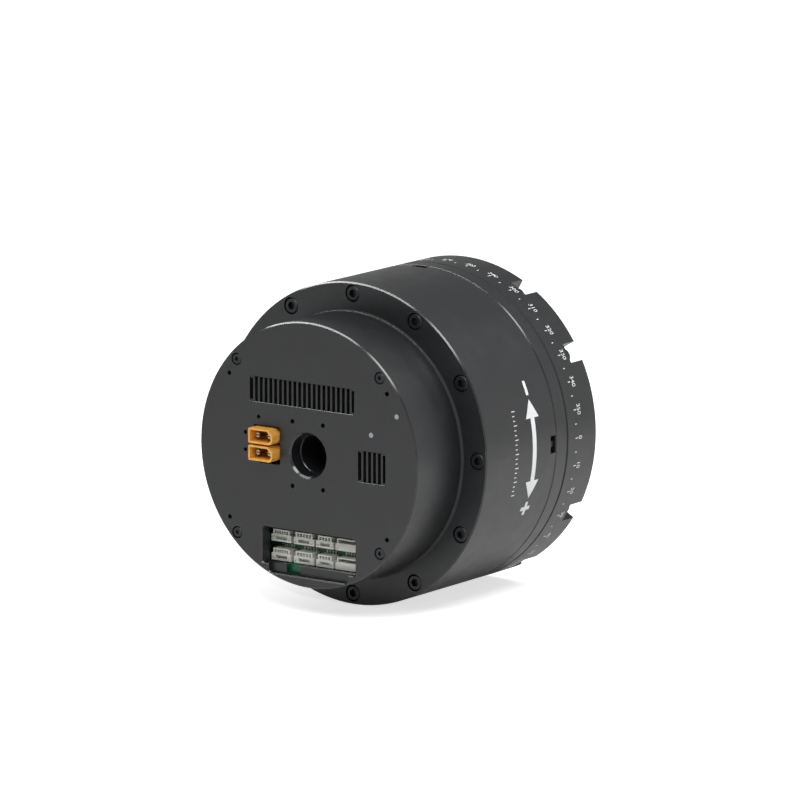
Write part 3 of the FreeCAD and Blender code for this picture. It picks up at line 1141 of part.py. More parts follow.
def brake_screws():
    """Long screws through the brake's end plate and body into the rear web."""
    seat = END_PLATE_FRONT - M2["height"]
    screw = move(cap_screw(M2, seat - FLANGE_REAR, toward=-1), y=seat)
    return on_brake_screws(screw)


def brake_disc():
    """The friction disc that turns with the rotor shaft."""
    return ring(FRICTION_RADIUS, SHAFT_RADIUS + SLIP, FRICTION_REAR, FRICTION_REAR + FRICTION_THICKNESS)


# ---- strain wave gear ----
def flexspline():
    """The hat-shaped flexible gear: a clamped flange, a thin diaphragm and a toothed sleeve."""
    wall = FLEX_PITCH - TOOTH_TIP
    diaphragm_front = SPLINE_SEAT - SLIP
    diaphragm_rear = diaphragm_front - DIAPHRAGM_THICKNESS
    hat = turned([
        (BODY_RADIUS, MOTOR_FRONT + EDGE_CHAMFER),
        (BODY_RADIUS, SPLINE_SEAT - SEAM_GROOVE_WIDTH),
        (BODY_RADIUS - SEAM_GROOVE_DEPTH, SPLINE_SEAT),
        (DIAPHRAGM_RADIUS, SPLINE_SEAT),
        (DIAPHRAGM_RADIUS, diaphragm_front),
        (wall, diaphragm_front),
        (wall, TOOTH_REAR),
        (FLEX_BORE, TOOTH_REAR),
        (FLEX_BORE, diaphragm_rear),
        (DIAPHRAGM_RADIUS, diaphragm_rear),
        (DIAPHRAGM_RADIUS, MOTOR_FRONT),
        (BODY_RADIUS - EDGE_CHAMFER, MOTOR_FRONT)])
    outline = toothed_outline(FLEX_TEETH, FLEX_PITCH - TOOTH_ROOT, FLEX_PITCH + TOOTH_TIP, TOOTH_REAR)
    toothed = Part.Face([outline, circle_wire(FLEX_BORE, TOOTH_REAR)]).extrude(V(0, TOOTH_LENGTH, 0))
    holes = on_ring_screws(plain_hole(M3, MOTOR_FRONT, SPLINE_SEAT))
    return hat.fuse(toothed).cut(holes)


def circle_wire(radius, y):
    """A circle round the axis as a wire."""
    return Part.Wire([Part.makeCircle(radius, V(0, y, 0), V(0, 1, 0))])


def circular_spline():
    """The rigid ring gear, with a collar that holds the bearing's inner rings."""
    outline = toothed_outline(SPLINE_TEETH, SPLINE_PITCH + TOOTH_ROOT, SPLINE_PITCH - TOOTH_TIP, TOOTH_REAR)
    toothed = Part.Face([circle_wire(SPLINE_OUTER, TOOTH_REAR), outline]).extrude(V(0, TOOTH_LENGTH, 0))
    collar = ring(SPLINE_COLLAR_RADIUS, SPLINE_PITCH + TOOTH_ROOT + AIR,
                  TOOTH_REAR - SPLINE_COLLAR, TOOTH_REAR)
    depth = OUTPUT_SCREW_LENGTH - (OUTPUT_FLANGE_THICKNESS - M25["height"])
    thread = rod(M25["thread"] / 2 + SLIP, TOOTH_FRONT - depth - OVERCUT, TOOTH_FRONT)
    holes = circle_of(thread, OUTPUT_SCREW_CIRCLE, even_angles(OUTPUT_SCREW_COUNT))
    return toothed.fuse(collar).cut(holes)


def wave_generator_cam():
    """The oval cam on the rotor shaft."""
    cam = oval(CAM_RADIUS, WAVE_THROW, TOOTH_REAR, TOOTH_FRONT)
    seat = TOOTH_FRONT - M2["height"] - AIR
    cuts = [rod(SHAFT_RADIUS + SLIP, TOOTH_REAR, TOOTH_FRONT)]
    cuts += circle_of(plain_hole(M2, TOOTH_REAR, seat), WAVE_SCREW_CIRCLE, even_angles(WAVE_SCREW_COUNT))
    cuts += circle_of(head_hole(M2, seat, TOOTH_FRONT), WAVE_SCREW_CIRCLE, even_angles(WAVE_SCREW_COUNT))
    return cam.cut(cuts)


def wave_generator_screws():
    """Screws that hold the cam to the rotor shaft's flange."""
    seat = TOOTH_FRONT - M2["height"] - AIR
    screw = move(cap_screw(M2, WAVE_SCREW_LENGTH, toward=-1), y=seat)
    return circle_of(screw, WAVE_SCREW_CIRCLE, even_angles(WAVE_SCREW_COUNT))


def wave_race(outer_mean, inner_mean):
    """One oval ring of the wave generator's thin ball bearing."""
    middle = (TOOTH_REAR + TOOTH_FRONT) / 2
    y0 = middle - WAVE_BEARING_WIDTH / 2
    y1 = middle + WAVE_BEARING_WIDTH / 2
    return oval(outer_mean, WAVE_THROW, y0, y1).cut(oval(inner_mean, WAVE_THROW, y0, y1))


def wave_inner_race():
    """The oval inner race, pressed on the cam."""
    return wave_race(CAM_RADIUS + WAVE_RACE - RUNNING, CAM_RADIUS + SLIP)


def wave_outer_race():
    """The oval outer race, which pushes the flexspline out."""
    return wave_race(WAVE_OUTER, WAVE_OUTER - WAVE_RACE + RUNNING)


def wave_balls():
    """Balls of the wave generator's bearing, on the cam's oval."""
    middle = (TOOTH_REAR + TOOTH_FRONT) / 2
    balls = []
    for angle in even_angles(WAVE_BALL_COUNT):
        radius = WAVE_BALL_CIRCLE + WAVE_THROW * math.cos(math.radians(2 * angle))
        x = radius * math.cos(math.radians(angle))
        z = radius * math.sin(math.radians(angle))
        balls.append(Part.makeSphere(WAVE_BALL_RADIUS - RUNNING, V(x, middle, z)))
    return balls


# ---- crossed-roller bearing and output ----
def groove_cut():
    """The square groove, standing on its corner, that the crossed rollers run in."""
    return turned([(ROLLER_CIRCLE - GROOVE_HALF, ROLLER_PLANE), (ROLLER_CIRCLE, ROLLER_PLANE - GROOVE_HALF),
                   (ROLLER_CIRCLE + GROOVE_HALF, ROLLER_PLANE), (ROLLER_CIRCLE, ROLLER_PLANE + GROOVE_HALF)])


def fixed_ring():
    """The bearing's outer ring: the actuator's mounting ring, with notches that give room to its screws."""
    seal_seat = INNER_RING_OUTER + SEAL_SECTION
    seal_rear = FRONT - SEAL_SECTION
    shape = turned([
        (RING_BORE, SPLINE_SEAT),
        (BODY_RADIUS - SEAM_GROOVE_DEPTH, SPLINE_SEAT),
        (BODY_RADIUS, SPLINE_SEAT + SEAM_GROOVE_WIDTH),
        (BODY_RADIUS, FRONT - EDGE_CHAMFER),
        (BODY_RADIUS - EDGE_CHAMFER, FRONT),
        (seal_seat, FRONT),
        (seal_seat, seal_rear),
        (RING_BORE, seal_rear)])
    head_room = M3["head"] / 2 + HEAD_SLACK
    notch = block(CASING_SCREW_CIRCLE - head_room, BODY_RADIUS + OVERCUT,
                  FRONT - NOTCH_LENGTH, FRONT + OVERCUT, -NOTCH_WIDTH / 2, NOTCH_WIDTH / 2)
    cuts = [groove_cut()]
    cuts += [turn(notch, angle) for angle in RING_SCREW_ANGLES]
    cuts += on_ring_screws(plain_hole(M3, SPLINE_SEAT, FRONT - NOTCH_LENGTH))
    cuts += circle_of(rod(MOUNT_TAP_RADIUS, FRONT - MOUNT_TAP_DEPTH, FRONT), MOUNT_CIRCLE,
                      even_angles(MOUNT_HOLE_COUNT, 180.0 / MOUNT_HOLE_COUNT))
    return shape.cut(cuts)


def ring_screws():
    """The screws in the notches, which clamp the fixed ring and the flexspline to the motor housing."""
    screw = move(cap_screw(M3, RING_SCREW_LENGTH, toward=-1), y=FRONT - NOTCH_LENGTH)
    return on_ring_screws(screw)


def output_seal():
    """The rubber ring between the fixed ring and the output flange."""
    inner = INNER_RING_OUTER + RUNNING
    outer = INNER_RING_OUTER + SEAL_SECTION - SLIP
    rear = FRONT - SEAL_SECTION
    front = FRONT - SEAL_SINK
    return turned([(outer, rear), (outer, front), (outer - SEAL_WALL, front),
                   (outer - SEAL_WALL, rear + SEAL_WALL), (inner + SEAL_LIP, rear + SEAL_WALL),
                   (inner + SEAL_LIP_ROOT, front - SEAL_LIP_BACK), (inner, front - SEAL_LIP_EDGE),
                   (inner + SEAL_LIP_ROOT, rear)])


def inner_ring(y0, y1):
    """Half of the bearing's turning ring, seated on the circular spline."""
    return ring(INNER_RING_OUTER, SPLINE_OUTER + SLIP, y0, y1).cut(groove_cut())


def crossed_rollers():
    """Rollers whose axes lean forwards and backwards in turn."""
    length = 2 * ROLLER_RADIUS - ROLLER_END_GAP
    rollers = []
    for index, angle in enumerate(even_angles(ROLLER_COUNT)):
        lean = 1 if index % 2 == 0 else -1
        direction = V(1, lean, 0).normalize()
        middle = V(ROLLER_CIRCLE, ROLLER_PLANE, 0)
        base = middle - direction * (length / 2)
        rollers.append(turn(Part.makeCylinder(ROLLER_RADIUS, length, base, direction), angle))
    return rollers


def output_flange():
    """The turning output plate, with threads for the driven part and a seat for the through tube."""
    seat = OUTPUT_FACE - TUBE_FLANGE_THICKNESS - AIR
    shape = turned([
        (TUBE_RADIUS + SLIP, OUTPUT_FLANGE_REAR),
        (INNER_RING_OUTER, OUTPUT_FLANGE_REAR),
        (INNER_RING_OUTER, OUTPUT_FACE - EDGE_CHAMFER),
        (INNER_RING_OUTER - EDGE_CHAMFER, OUTPUT_FACE),
        (TUBE_FLANGE_RADIUS + SLIP, OUTPUT_FACE),
        (TUBE_FLANGE_RADIUS + SLIP, seat),
        (TUBE_RADIUS + SLIP, seat)])
    screws = even_angles(OUTPUT_SCREW_COUNT)
    head_seat = OUTPUT_FACE - M25["height"] - HEAD_SINK
    cuts = circle_of(head_hole(M25, head_seat, OUTPUT_FACE), OUTPUT_SCREW_CIRCLE, screws)
    cuts += circle_of(plain_hole(M25, OUTPUT_FLANGE_REAR, head_seat), OUTPUT_SCREW_CIRCLE, screws)
    cuts += circle_of(rod(OUTPUT_TAP_RADIUS, OUTPUT_FACE - OUTPUT_TAP_DEPTH, OUTPUT_FACE), OUTPUT_TAP_CIRCLE,
                      even_angles(OUTPUT_TAP_COUNT))
    cuts += circle_of(rod(M2["thread"] / 2 + SLIP, OUTPUT_FLANGE_REAR, seat), TUBE_SCREW_CIRCLE,
                      even_angles(TUBE_SCREW_COUNT, TUBE_SCREW_TURN))
    return shape.cut(cuts)


def output_flange_screws():
    """Screws that clamp the output flange, the inner rings and the circular spline together."""
    head_seat = OUTPUT_FACE - M25["height"] - HEAD_SINK
    screw = move(cap_screw(M25, OUTPUT_SCREW_LENGTH, toward=-1), y=head_seat)
    return circle_of(screw, OUTPUT_SCREW_CIRCLE, even_angles(OUTPUT_SCREW_COUNT))


def hollow_shaft():
    """The through tube that cables pass along, flanged at the output."""
    seat = OUTPUT_FACE - TUBE_FLANGE_THICKNESS - AIR
    flange_front = seat + TUBE_FLANGE_THICKNESS
    rear = COVER_SEAT + TUBE_REAR_GAP
    shape = turned([
        (TUBE_BORE_RADIUS, rear + TUBE_EDGE_CHAMFER),
        (TUBE_BORE_RADIUS + TUBE_EDGE_CHAMFER, rear),
        (TUBE_RADIUS, rear),
        (TUBE_RADIUS, seat),
        (TUBE_FLANGE_RADIUS, seat),
        (TUBE_FLANGE_RADIUS, flange_front),
        (TUBE_BORE_RADIUS, flange_front)])
    head_seat = flange_front - M2["height"]
    angles = even_angles(TUBE_SCREW_COUNT, TUBE_SCREW_TURN)
    cuts = circle_of(head_hole(M2, head_seat, flange_front), TUBE_SCREW_CIRCLE, angles)
    cuts += circle_of(plain_hole(M2, seat, head_seat), TUBE_SCREW_CIRCLE, angles)
    return shape.cut(cuts)


def hollow_shaft_screws():
    """Small screws that hold the tube's flange in the output flange."""
    head_seat = OUTPUT_FACE - AIR - M2["height"]
    screw = move(cap_screw(M2, TUBE_SCREW_LENGTH, toward=-1), y=head_seat)
    return circle_of(screw, TUBE_SCREW_CIRCLE, even_angles(TUBE_SCREW_COUNT, TUBE_SCREW_TURN))


def output_encoder_disc():
    """The encoder disc and its hub on the through tube."""
    disc = ring(ENCODER_DISC_RADIUS, TUBE_RADIUS + SLIP, OUTPUT_DISC, OUTPUT_DISC + ENCODER_DISC_THICKNESS)
    hub = ring(TUBE_RADIUS + DISC_HUB_WALL, TUBE_RADIUS + SLIP, OUTPUT_DISC - DISC_HUB_LENGTH, OUTPUT_DISC)
    return disc.fuse(hub).removeSplitter()


def input_encoder_disc():
    """The encoder disc on the rotor shaft's tail."""
    return ring(ENCODER_DISC_RADIUS, SHAFT_RADIUS + SLIP, INPUT_DISC, INPUT_DISC + ENCODER_DISC_THICKNESS)


# ---- write every node ----
os.makedirs("parts", exist_ok=True)
save("rear_cover", rear_cover())
save("cover_screws", cover_screws())
save("tube_bush", tube_bush())
save("rear_housing", rear_housing())
save("flange_screws", flange_screws())
save("motor_housing", motor_housing())
save("control_board", control_board())
save("power_board", board_outline(POWER_REAR, POWER_FRONT, POWER_BOARD_HOLE))
save("board_standoffs", board_standoffs())
save("board_screws", board_screws())
save("encoder_board", encoder_board())
save("encoder_standoffs", encoder_standoffs())
save("encoder_read_heads", read_heads())
save("power_plug_bodies", power_plugs())
save("power_plug_pins", plug_pins())
save("signal_headers_lower", signal_headers(LOWER_HEADER_Z))
save("signal_headers_upper", signal_headers(UPPER_HEADER_Z))
save("signal_header_pins", header_pins())
save("status_lights", status_lights())
save("control_chips", control_chips())
save("power_transistors", power_transistors())
save("bus_capacitors", bus_capacitors())
save("phase_leads", phase_leads())
save("stator_core", stator_core())
save("stator_coils", stator_coils())
save("rotor_core", rotor_core())
save("rotor_magnets", rotor_magnets())
save("rotor_shaft", rotor_shaft())
save("rotor_bearing_outer_races", outer_races())
save("rotor_bearing_inner_races", inner_races())
save("rotor_bearing_balls", bearing_balls())
save("rotor_bearing_cages", bearing_cages())
save("rotor_shaft_seal", shaft_seal())
save("brake_magnet", brake_magnet())
save("brake_coil", brake_coil())
save("brake_springs", brake_springs())
save("brake_armature", brake_armature())
save("brake_end_plate", brake_end_plate())
save("brake_screws", brake_screws())
save("brake_disc", brake_disc())
save("flexspline", flexspline())
save("circular_spline", circular_spline())
save("wave_generator_cam", wave_generator_cam())
save("wave_generator_screws", wave_generator_screws())
save("wave_bearing_inner_race", wave_inner_race())
save("wave_bearing_balls", wave_balls())
save("wave_bearing_outer_race", wave_outer_race())
save("fixed_ring", fixed_ring())
save("ring_screws", ring_screws())
save("output_seal", output_seal())
save("inner_ring_rear", inner_ring(INNER_RING_REAR, ROLLER_PLANE))
save("inner_ring_front", inner_ring(ROLLER_PLANE, OUTPUT_FLANGE_REAR))
save("crossed_rollers", crossed_rollers())
save("output_flange", output_flange())
save("output_flange_screws", output_flange_screws())
save("hollow_shaft", hollow_shaft())
save("hollow_shaft_screws", hollow_shaft_screws())
save("output_encoder_disc", output_encoder_disc())
save("input_encoder_disc", input_encoder_disc())
print(f"output gear ratio {SPLINE_TEETH / 2:.0f}")
print(f"ball cage share {(1 - BALL_RADIUS / BALL_CIRCLE) / 2:.4f}")
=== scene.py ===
# %% [markdown]
# A hollow robot joint actuator: a motor, brake and strain wave gear in one black aluminium barrel.
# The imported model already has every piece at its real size, so this lesson dresses it. It gives each
# finish its own material, models the small parts and printed marks that need a closer look, and lights
# the whole like a catalogue picture. Lengths are metres, the barrel lies along Y and the cables enter
# on the side that faces -Y.

# %% Load the frame
import math

import bpy
from mathutils import Matrix, Vector


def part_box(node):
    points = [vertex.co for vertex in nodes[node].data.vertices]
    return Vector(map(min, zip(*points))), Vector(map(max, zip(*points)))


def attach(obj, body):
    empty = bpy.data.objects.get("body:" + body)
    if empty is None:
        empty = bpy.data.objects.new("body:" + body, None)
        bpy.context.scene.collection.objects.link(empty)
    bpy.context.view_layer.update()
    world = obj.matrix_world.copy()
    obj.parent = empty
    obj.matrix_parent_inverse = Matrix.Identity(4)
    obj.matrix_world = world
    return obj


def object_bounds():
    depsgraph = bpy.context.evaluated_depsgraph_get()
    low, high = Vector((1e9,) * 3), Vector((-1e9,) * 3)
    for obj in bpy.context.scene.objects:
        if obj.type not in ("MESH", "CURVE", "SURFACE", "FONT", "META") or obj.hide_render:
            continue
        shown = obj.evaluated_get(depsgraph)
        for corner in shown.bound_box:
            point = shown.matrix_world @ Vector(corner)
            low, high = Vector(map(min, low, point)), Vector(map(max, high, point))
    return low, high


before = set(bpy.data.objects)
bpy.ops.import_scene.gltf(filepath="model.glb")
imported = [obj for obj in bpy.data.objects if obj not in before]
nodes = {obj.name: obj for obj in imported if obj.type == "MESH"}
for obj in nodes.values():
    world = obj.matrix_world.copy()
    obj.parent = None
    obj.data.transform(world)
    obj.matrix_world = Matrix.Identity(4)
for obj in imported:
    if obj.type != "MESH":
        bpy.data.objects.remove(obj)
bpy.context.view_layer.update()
MM = 0.001

# %% [markdown]
# Places come from the model itself. The cover's face, the barrel's seams, the front ring and the output
# face are read from the boxes of the pieces that make them, and so are the radii of the neck and the
# barrel. Everything added later is placed from them and follows the model's size.

# %% Faces and radii read from the pieces
cover_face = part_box("rear_cover")[0].y
seam_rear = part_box("rear_housing")[1].y
ring_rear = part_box("fixed_ring")[0].y
ring_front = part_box("fixed_ring")[1].y
output_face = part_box("output_flange")[1].y
body_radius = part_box("fixed_ring")[1].x
neck_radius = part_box("rear_cover")[1].x
print("radii", [round(radius / MM, 2) for radius in (neck_radius, body_radius)], "mm")
print("faces and seams along Y", [
    round(y / MM, 2) for y in (cover_face, seam_rear, ring_rear, output_face)], "mm")

# %% [markdown]
# The camera is a long lens a good way off, as a catalogue photographer would use, so that the round faces
# keep their shape. It looks at the cable side from the right and a little from above.

# %% Camera
CAMERA_AZIMUTH = math.radians(35.97)
CAMERA_ELEVATION = math.radians(10.88)
CAMERA_DISTANCE = 2.391
AIM_BEHIND_COVER = 40 * MM
AIM_RIGHT = 7.19 * MM
AIM_UP = 12.46 * MM
SENSOR_WIDTH = 36.0
LENS = 319.5

away = Vector((math.sin(CAMERA_AZIMUTH) * math.cos(CAMERA_ELEVATION),
               -math.cos(CAMERA_AZIMUTH) * math.cos(CAMERA_ELEVATION),
               math.sin(CAMERA_ELEVATION)))
right = Vector((math.cos(CAMERA_AZIMUTH), math.sin(CAMERA_AZIMUTH), 0))
up = away.cross(right)
aim = Vector((0, cover_face + AIM_BEHIND_COVER, 0)) + right * AIM_RIGHT + up * AIM_UP

bpy.ops.object.camera_add(location=aim + away * CAMERA_DISTANCE)
camera = bpy.context.object
camera.name = "catalogue_camera"
camera.rotation_mode = "QUATERNION"
camera.rotation_quaternion = (-away).to_track_quat("-Z", "Y")
camera.data.sensor_width = SENSOR_WIDTH
camera.data.lens = LENS
bpy.context.scene.camera = camera
print("camera at", [round(value, 3) for value in camera.location])

# %% [markdown]
# A few helpers serve every material. Colours are written as sRGB hex, the way a paint chart gives them,
# and turned to the linear values that the shader wants. One function starts a material with its
# principled shader, one adds a node with its settings and links, and one gives a finish to pieces. Two
# more turn a real size in millimetres into the scale of a noise or of a wave.

# %% Material helpers
SRGB_KNEE = 0.04045
WAVE_LENGTH = 2 * math.pi / 20       # of a wave texture whose scale is 1, in metres


def to_linear(code):
    """An sRGB hex colour as linear red, green, blue and alpha."""
    channels = [int(code[i:i + 2], 16) / 255 for i in (1, 3, 5)]
    return [c / 12.92 if c <= SRGB_KNEE else ((c + 0.055) / 1.055) ** 2.4 for c in channels] + [1.0]


def add_node(material, kind, inputs=None, **settings):
    """Add a shader node; an input is a value, or another node's output socket to link."""
    made = material.node_tree.nodes.new(kind)
    for name, value in settings.items():
        setattr(made, name, value)
    for name, value in (inputs or {}).items():
        if isinstance(value, bpy.types.NodeSocket):
            material.node_tree.links.new(value, made.inputs[name])
        else:
            made.inputs[name].default_value = value
    return made


def start_material(name, constants):
    """A material with a principled shader whose constant sockets are set directly."""
    material = bpy.data.materials.new(name)
    material.use_nodes = True
    shader = material.node_tree.nodes["Principled BSDF"]
    for socket, value in constants.items():
        shader.inputs[socket].default_value = value
    return material, shader


def join_up(material, shader, sockets):
    """Link outputs to the named inputs of a shader."""
    for name, output in sockets.items():
        material.node_tree.links.new(output, shader.inputs[name])


def per_mm(size):
    """The scale of a noise whose blotches are about this many millimetres across."""
    return 1 / (size * MM)


def waves_each(spacing):
    """The scale of a wave texture whose lines are this many millimetres apart."""
    return WAVE_LENGTH / (spacing * MM)


def dress(names, material):
    """Give a finish to CAD nodes by name."""
    for name in names:
        slots = nodes[name].material_slots
        if not slots:
            nodes[name].data.materials.append(material)
        for used in slots:
            used.material = material
    print(material.name, "on", len(names), "pieces")

# %% [markdown]
# The casing is anodised aluminium: blasted with fine glass beads, then dyed black in the oxide layer.
# The oxide is a clear hard skin, so it reflects a little more than paint does (IOR 1.55) over a nearly
# black colour. The beads leave a grain of about 0.1 mm that would be lost here, so it is drawn at
# 0.3 mm. Chamfers are cut after blasting and before dyeing, so they are smooth and flash brightly: a
# compare node finds the faces that lean at 45 degrees to the barrel's axis, takes the grain off them
# and lowers their roughness. Rounded inner corners lean at every angle between. Beads strike them at a
# slant and leave them rougher, so a second compare node finds those.

# %% Black anodised aluminium
CHAMFER_LEAN = math.sin(math.radians(45))
CHAMFER_TOLERANCE = 0.01
CHAMFER_ROUGHNESS = 0.17
CORNER_LEAN = 0.55
CORNER_TOLERANCE = 0.42              # leaves out the flat faces and the barrel's sides
CORNER_ROUGHNESS = 0.75

anodised, shader = start_material("black_anodised_aluminium", {"Metallic": 0.0, "IOR": 1.55})
coordinate = add_node(anodised, "ShaderNodeTexCoord")
place = coordinate.outputs["Object"]
bead_grain = add_node(anodised, "ShaderNodeTexNoise", {
    "Vector": place, "Scale": per_mm(0.3), "Detail": 3.0})
dye_patches = add_node(anodised, "ShaderNodeTexNoise", {
    "Vector": place, "Scale": per_mm(14), "Detail": 3.0})
dye = add_node(anodised, "ShaderNodeMixRGB", {
    "Fac": dye_patches.outputs["Fac"], "Color1": to_linear("#141517"), "Color2": to_linear("#1b1c1e")})
handling = add_node(anodised, "ShaderNodeTexNoise", {
    "Vector": place, "Scale": per_mm(6), "Detail": 4.0})
blasted = add_node(anodised, "ShaderNodeMapRange", {
    "Value": handling.outputs["Fac"], "From Min": 0.3, "From Max": 0.7, "To Min": 0.34, "To Max": 0.41})
normal = add_node(anodised, "ShaderNodeSeparateXYZ", {"Vector": coordinate.outputs["Normal"]})
lean = add_node(anodised, "ShaderNodeMath", {0: normal.outputs["Y"]}, operation="ABSOLUTE")
chamfer = add_node(anodised, "ShaderNodeMath", {
    0: lean.outputs[0], 1: CHAMFER_LEAN, 2: CHAMFER_TOLERANCE}, operation="COMPARE")
corner = add_node(anodised, "ShaderNodeMath", {
    0: lean.outputs[0], 1: CORNER_LEAN, 2: CORNER_TOLERANCE}, operation="COMPARE")
slanted = add_node(anodised, "ShaderNodeMix", {
    0: corner.outputs[0], 2: blasted.outputs["Result"], 3: CORNER_ROUGHNESS})
roughness = add_node(anodised, "ShaderNodeMix", {
    0: chamfer.outputs[0], 2: slanted.outputs[0], 3: CHAMFER_ROUGHNESS})
beaten = add_node(anodised, "ShaderNodeMapRange", {
    "Value": chamfer.outputs[0], "To Min": 0.3, "To Max": 0.0})
bump = add_node(anodised, "ShaderNodeBump", {
    "Height": bead_grain.outputs["Fac"], "Distance": 0.01 * MM, "Strength": beaten.outputs["Result"]})
join_up(anodised, shader, {"Base Color": dye.outputs["Color"], "Roughness": roughness.outputs[0],
                           "Normal": bump.outputs["Normal"]})
dress(["rear_cover", "rear_housing", "motor_housing", "flexspline", "fixed_ring", "hollow_shaft"], anodised)

# %% [markdown]
# Most of the hidden works are metal in one of a few finishes. They share a recipe: two close tones
# mixed by soft blotches, a roughness that wanders between two values, and a fine bump from the way the
# surface was made. Only the tones, the size of the grain and the roughness change. A metal keeps the
# default IOR, because its colour says how it reflects.

# %% Recipe for metal pieces
def metal_finish(name, dark, light, grain, smooth, rough, depth, stretch=(1, 1, 1)):
    """A metal from two tones, a grain size and a bump depth in mm, and two roughness values."""
    material, shader = start_material(name, {"Metallic": 1.0})
    place = add_node(material, "ShaderNodeTexCoord").outputs["Object"]
    drawn = add_node(material, "ShaderNodeMapping", {"Vector": place, "Scale": stretch}).outputs["Vector"]
    fine = add_node(material, "ShaderNodeTexNoise", {
        "Vector": drawn, "Scale": per_mm(grain), "Detail": 4.0})
    broad = add_node(material, "ShaderNodeTexNoise", {"Vector": place, "Scale": per_mm(9), "Detail": 2.0})
    tone = add_node(material, "ShaderNodeMixRGB", {
        "Fac": broad.outputs["Fac"], "Color1": to_linear(dark), "Color2": to_linear(light)})
    wander = add_node(material, "ShaderNodeMapRange", {
        "Value": fine.outputs["Fac"], "From Min": 0.3, "From Max": 0.7, "To Min": smooth, "To Max": rough})
    bump = add_node(material, "ShaderNodeBump", {
        "Height": fine.outputs["Fac"], "Distance": depth * MM, "Strength": 0.5})
    join_up(material, shader, {"Base Color": tone.outputs["Color"], "Roughness": wander.outputs["Result"],
                               "Normal": bump.outputs["Normal"]})
    return material

# %% [markdown]
# Screws that show are alloy steel with black oxide: dark, a little oily and not quite matt. The ones
# inside are zinc plated or plain. Gears and rings are ground and oiled, springs are drawn wire, and the
# brake's iron is phosphated to a soft grey-green.

# %% Steels and irons
black_oxide = metal_finish("black_oxide_steel", "#3a3b3d", "#464749",
    grain=0.5, smooth=0.4, rough=0.52, depth=0.01)
dress(["cover_screws", "flange_screws", "ring_screws"], black_oxide)
zinc_plate = metal_finish("zinc_plated_steel", "#9a9da0", "#b4b6b8",
    grain=0.4, smooth=0.28, rough=0.4, depth=0.008)
dress(["board_screws", "brake_screws", "output_flange_screws", "wave_generator_screws",
       "hollow_shaft_screws"], zinc_plate)
ground_steel = metal_finish("ground_gear_steel", "#7d7f82", "#929496",
    grain=0.25, smooth=0.24, rough=0.36, depth=0.006, stretch=(1, 6, 1))
dress(["circular_spline", "rotor_shaft", "wave_generator_cam"], ground_steel)
bearing_steel = metal_finish("polished_bearing_steel", "#a9abad", "#bfc0c1",
    grain=0.6, smooth=0.08, rough=0.16, depth=0.002)
dress(["rotor_bearing_outer_races", "rotor_bearing_inner_races", "rotor_bearing_balls", "inner_ring_rear",
       "inner_ring_front", "crossed_rollers", "wave_bearing_inner_race", "wave_bearing_balls",
       "wave_bearing_outer_race"], bearing_steel)
phosphated = metal_finish("phosphated_iron", "#4b4f4c", "#5c605b",
    grain=0.3, smooth=0.5, rough=0.66, depth=0.02)
dress(["brake_magnet", "brake_end_plate", "brake_armature", "rotor_core"], phosphated)
spring_wire = metal_finish("drawn_spring_wire", "#7a7468", "#8f897c",
    grain=0.2, smooth=0.25, rough=0.38, depth=0.004, stretch=(1, 8, 1))
dress(["brake_springs"], spring_wire)
nickel = metal_finish("nickel_plated_magnet", "#a7a59c", "#bdbbb3",
    grain=0.8, smooth=0.16, rough=0.26, depth=0.004)
dress(["rotor_magnets"], nickel)
brass = metal_finish("turned_brass", "#a98649", "#c29c58",
    grain=0.3, smooth=0.22, rough=0.34, depth=0.006, stretch=(1, 8, 1))
dress(["board_standoffs", "encoder_standoffs"], brass)
can_sleeve = metal_finish("drawn_aluminium_can", "#a6a8aa", "#c3c4c6",
    grain=0.25, smooth=0.26, rough=0.4, depth=0.006, stretch=(1, 0.1, 1))
dress(["bus_capacitors"], can_sleeve)
contact_gold = metal_finish("flash_gilt_contact", "#a89676", "#c2b294",
    grain=0.3, smooth=0.26, rough=0.38, depth=0.004)
dress(["power_plug_pins"], contact_gold)
contact_tin = metal_finish("tinned_contact", "#a9aaa6", "#c0c1bc",
    grain=0.3, smooth=0.3, rough=0.42, depth=0.004)
dress(["signal_header_pins"], contact_tin)

# %% [markdown]
# The output flange is turned aluminium with clear anodising. The lathe leaves fine rings round the axis
# that spread each highlight across them. The feed is about 0.1 mm a turn, too fine to show, so the rings
# are drawn 0.5 mm apart. A wave texture of rings about Y follows every face and edge of the flange.

# %% Turned aluminium of the output side
turned, shader = start_material("clear_anodised_turned_aluminium", {"Metallic": 1.0})
place = add_node(turned, "ShaderNodeTexCoord").outputs["Object"]
rings = add_node(turned, "ShaderNodeTexWave", {
    "Vector": place, "Scale": waves_each(0.5), "Distortion": 0.6, "Detail": 2.0},
                 wave_type="RINGS", rings_direction="Y")
clouds = add_node(turned, "ShaderNodeTexNoise", {
    "Vector": place, "Scale": per_mm(11), "Detail": 3.0})
tone = add_node(turned, "ShaderNodeMixRGB", {
    "Fac": clouds.outputs["Fac"], "Color1": to_linear("#a9abad"), "Color2": to_linear("#bcbdbf")})
wander = add_node(turned, "ShaderNodeMapRange", {
    "Value": rings.outputs["Fac"], "To Min": 0.26, "To Max": 0.4})
bump = add_node(turned, "ShaderNodeBump", {
    "Height": rings.outputs["Fac"], "Distance": 0.006 * MM, "Strength": 0.4})
join_up(turned, shader, {"Base Color": tone.outputs["Color"], "Roughness": wander.outputs["Result"],
                         "Normal": bump.outputs["Normal"]})
dress(["output_flange"], turned)

# %% [markdown]
# Plastics and rubbers share a second recipe: a base colour with cloudy variation, a fine moulded grit
# and a touch of light that passes through thin walls where the plastic isn't filled. The grit comes
# from the spark-eroded mould and is about 0.15 mm.

